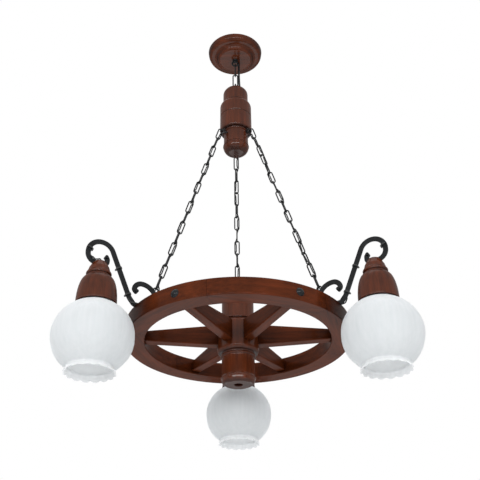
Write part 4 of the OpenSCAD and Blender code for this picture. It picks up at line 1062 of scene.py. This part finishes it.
def area_light(name, power, wide, high, place, aim):
    """A soft rectangular light that faces a point."""
    data = bpy.data.lights.new(name, "AREA")
    data.energy = power
    data.shape = "RECTANGLE"
    data.size, data.size_y = wide, high
    lamp = bpy.data.objects.new(name, data)
    bpy.context.scene.collection.objects.link(lamp)
    lamp.location = place
    lamp.visible_camera = False
    lamp.rotation_euler = (Vector(aim) - Vector(place)).to_track_quat("-Z", "Y").to_euler()


class CHANDELIER_OT_stage(bpy.types.Operator):
    """Camera, soft light, floor and background"""

    bl_idname = "chandelier.stage"
    bl_label = "Stage"

    def execute(self, context):
        scene = context.scene
        # The photograph's camera, low in the room and looking up at the wheel.
        pitch, yaw, roll = 0.5406, 0.0093, -0.0152
        ahead = Vector((math.sin(yaw) * math.cos(pitch), math.cos(yaw) * math.cos(pitch),
                        math.sin(pitch)))
        level = Vector((math.cos(yaw), -math.sin(yaw), 0))
        rise = level.cross(ahead)
        right = level * math.cos(roll) + rise * math.sin(roll)
        over = rise * math.cos(roll) - level * math.sin(roll)
        data = bpy.data.cameras.new("camera")
        data.sensor_width = 36
        data.lens = 56.518
        data.shift_x = -0.00628
        camera = bpy.data.objects.new("camera", data)
        scene.collection.objects.link(camera)
        turn = Matrix((right, over, -ahead)).transposed()
        camera.matrix_world = shifted(0, -1.3678, -1.3637) @ turn.to_4x4()
        scene.camera = camera
        scene.view_settings.view_transform = "Standard"

        area_light("key", 42, 3.4, 0.3, (-0.2, -2.4, -0.55), (0, 0, -0.6))
        area_light("from_the_floor", 5, 2.4, 2.4, (0, -0.4, -2.2), (0, 0, -0.6))
        area_light("back", 5, 1.4, 0.5, (0, 1.7, -1.8), (0, 0, -0.4))
        area_light("top", 8, 1.6, 1.6, (0, 0.2, 1.4), (0, 0, -0.7))

        world = bpy.data.worlds.new("studio")
        scene.world = world
        world.use_nodes = True
        world.node_tree.nodes.clear()
        rays = add(world, "ShaderNodeLightPath")
        seen = add(world, "ShaderNodeMath", {
            0: rays.outputs["Is Camera Ray"], 1: rays.outputs["Is Glossy Ray"]},
            operation="MAXIMUM")
        seen = add(world, "ShaderNodeMath", {0: seen, 1: rays.outputs["Is Transmission Ray"]},
                   operation="MAXIMUM")
        soft = add(world, "ShaderNodeBackground", {
            "Color": (*hex_colour("#F4F5F7"), 1), "Strength": 1.0})
        white = add(world, "ShaderNodeBackground", {"Color": (1, 1, 1, 1), "Strength": 1.0})
        mixed = add(world, "ShaderNodeMixShader", {0: seen, 1: soft, 2: white})
        add(world, "ShaderNodeOutputWorld", {"Surface": mixed})

        # A plain pale floor, as far down as in a room of 2.4 m.
        paint = blank("Pale floor, painted")
        place = add(paint, "ShaderNodeTexCoord")
        cloud = add(paint, "ShaderNodeTexNoise", {"Vector": place.outputs["Object"], "Scale": 1.5})
        tint = add(paint, "ShaderNodeValToRGB", {"Fac": cloud},
                   ((0.4, hex_colour("#F4F4F3")), (0.6, hex_colour("#F8F8F7"))))
        shader = add(paint, "ShaderNodeBsdfPrincipled", {"Base Color": tint, "Roughness": 0.9})
        glow = add(paint, "ShaderNodeEmission", {"Color": tint, "Strength": 1.0})
        rays = add(paint, "ShaderNodeLightPath")
        share = add(paint, "ShaderNodeMath", {0: rays.outputs["Is Camera Ray"], 1: 0.6},
                    operation="MULTIPLY")
        mixed = add(paint, "ShaderNodeMixShader", {0: share, 1: shader, 2: glow})
        add(paint, "ShaderNodeOutputMaterial", {"Surface": mixed})
        half, depth = 30000, -2400
        floor = new_mesh("floor", [(-half, -half, depth), (half, -half, depth),
                                   (half, half, depth), (-half, half, depth)],
                         [(0, 1, 2, 3)], paint)
        return {"FINISHED"}


# ---------------------------------------------------------------- panel and registration

PIECES = (CHANDELIER_OT_stage, CHANDELIER_OT_rose, CHANDELIER_OT_top_chain,
          CHANDELIER_OT_upper_hub, CHANDELIER_OT_side_chains, CHANDELIER_OT_lamp_cables,
          CHANDELIER_OT_felloes, CHANDELIER_OT_spokes, CHANDELIER_OT_lower_hub,
          CHANDELIER_OT_rim_bolts, CHANDELIER_OT_arms, CHANDELIER_OT_cups,
          CHANDELIER_OT_lampholders, CHANDELIER_OT_globes)


class CHANDELIER_PT_panel(bpy.types.Panel):
    """Lists the chandelier's pieces, sizes and colours"""

    bl_idname = "CHANDELIER_PT_panel"
    bl_label = "Chandelier"
    bl_space_type = "VIEW_3D"
    bl_region_type = "UI"
    bl_category = "Chandelier"

    def draw(self, context):
        column = self.layout.column(align=True)
        for piece in PIECES:
            column.operator(piece.bl_idname)
        for group in (context.scene.chandelier_sizes, context.scene.chandelier_looks):
            box = self.layout.box()
            for key in group.__annotations__:
                box.prop(group, key)


CLASSES = (ChandelierLooks, ChandelierSizes, *PIECES, CHANDELIER_PT_panel)


def register():
    for item in CLASSES:
        bpy.utils.register_class(item)
    bpy.types.Scene.chandelier_looks = PointerProperty(type=ChandelierLooks)
    bpy.types.Scene.chandelier_sizes = PointerProperty(type=ChandelierSizes)


def unregister():
    del bpy.types.Scene.chandelier_sizes
    del bpy.types.Scene.chandelier_looks
    for item in reversed(CLASSES):
        bpy.utils.unregister_class(item)


def main():
    register()
    for piece in PIECES:
        group, name = piece.bl_idname.split(".")
        result = getattr(getattr(bpy.ops, group), name)()
        if result != {"FINISHED"}:
            raise RuntimeError(piece.bl_label + " was not finished")


if __name__ == "__main__":
    main()
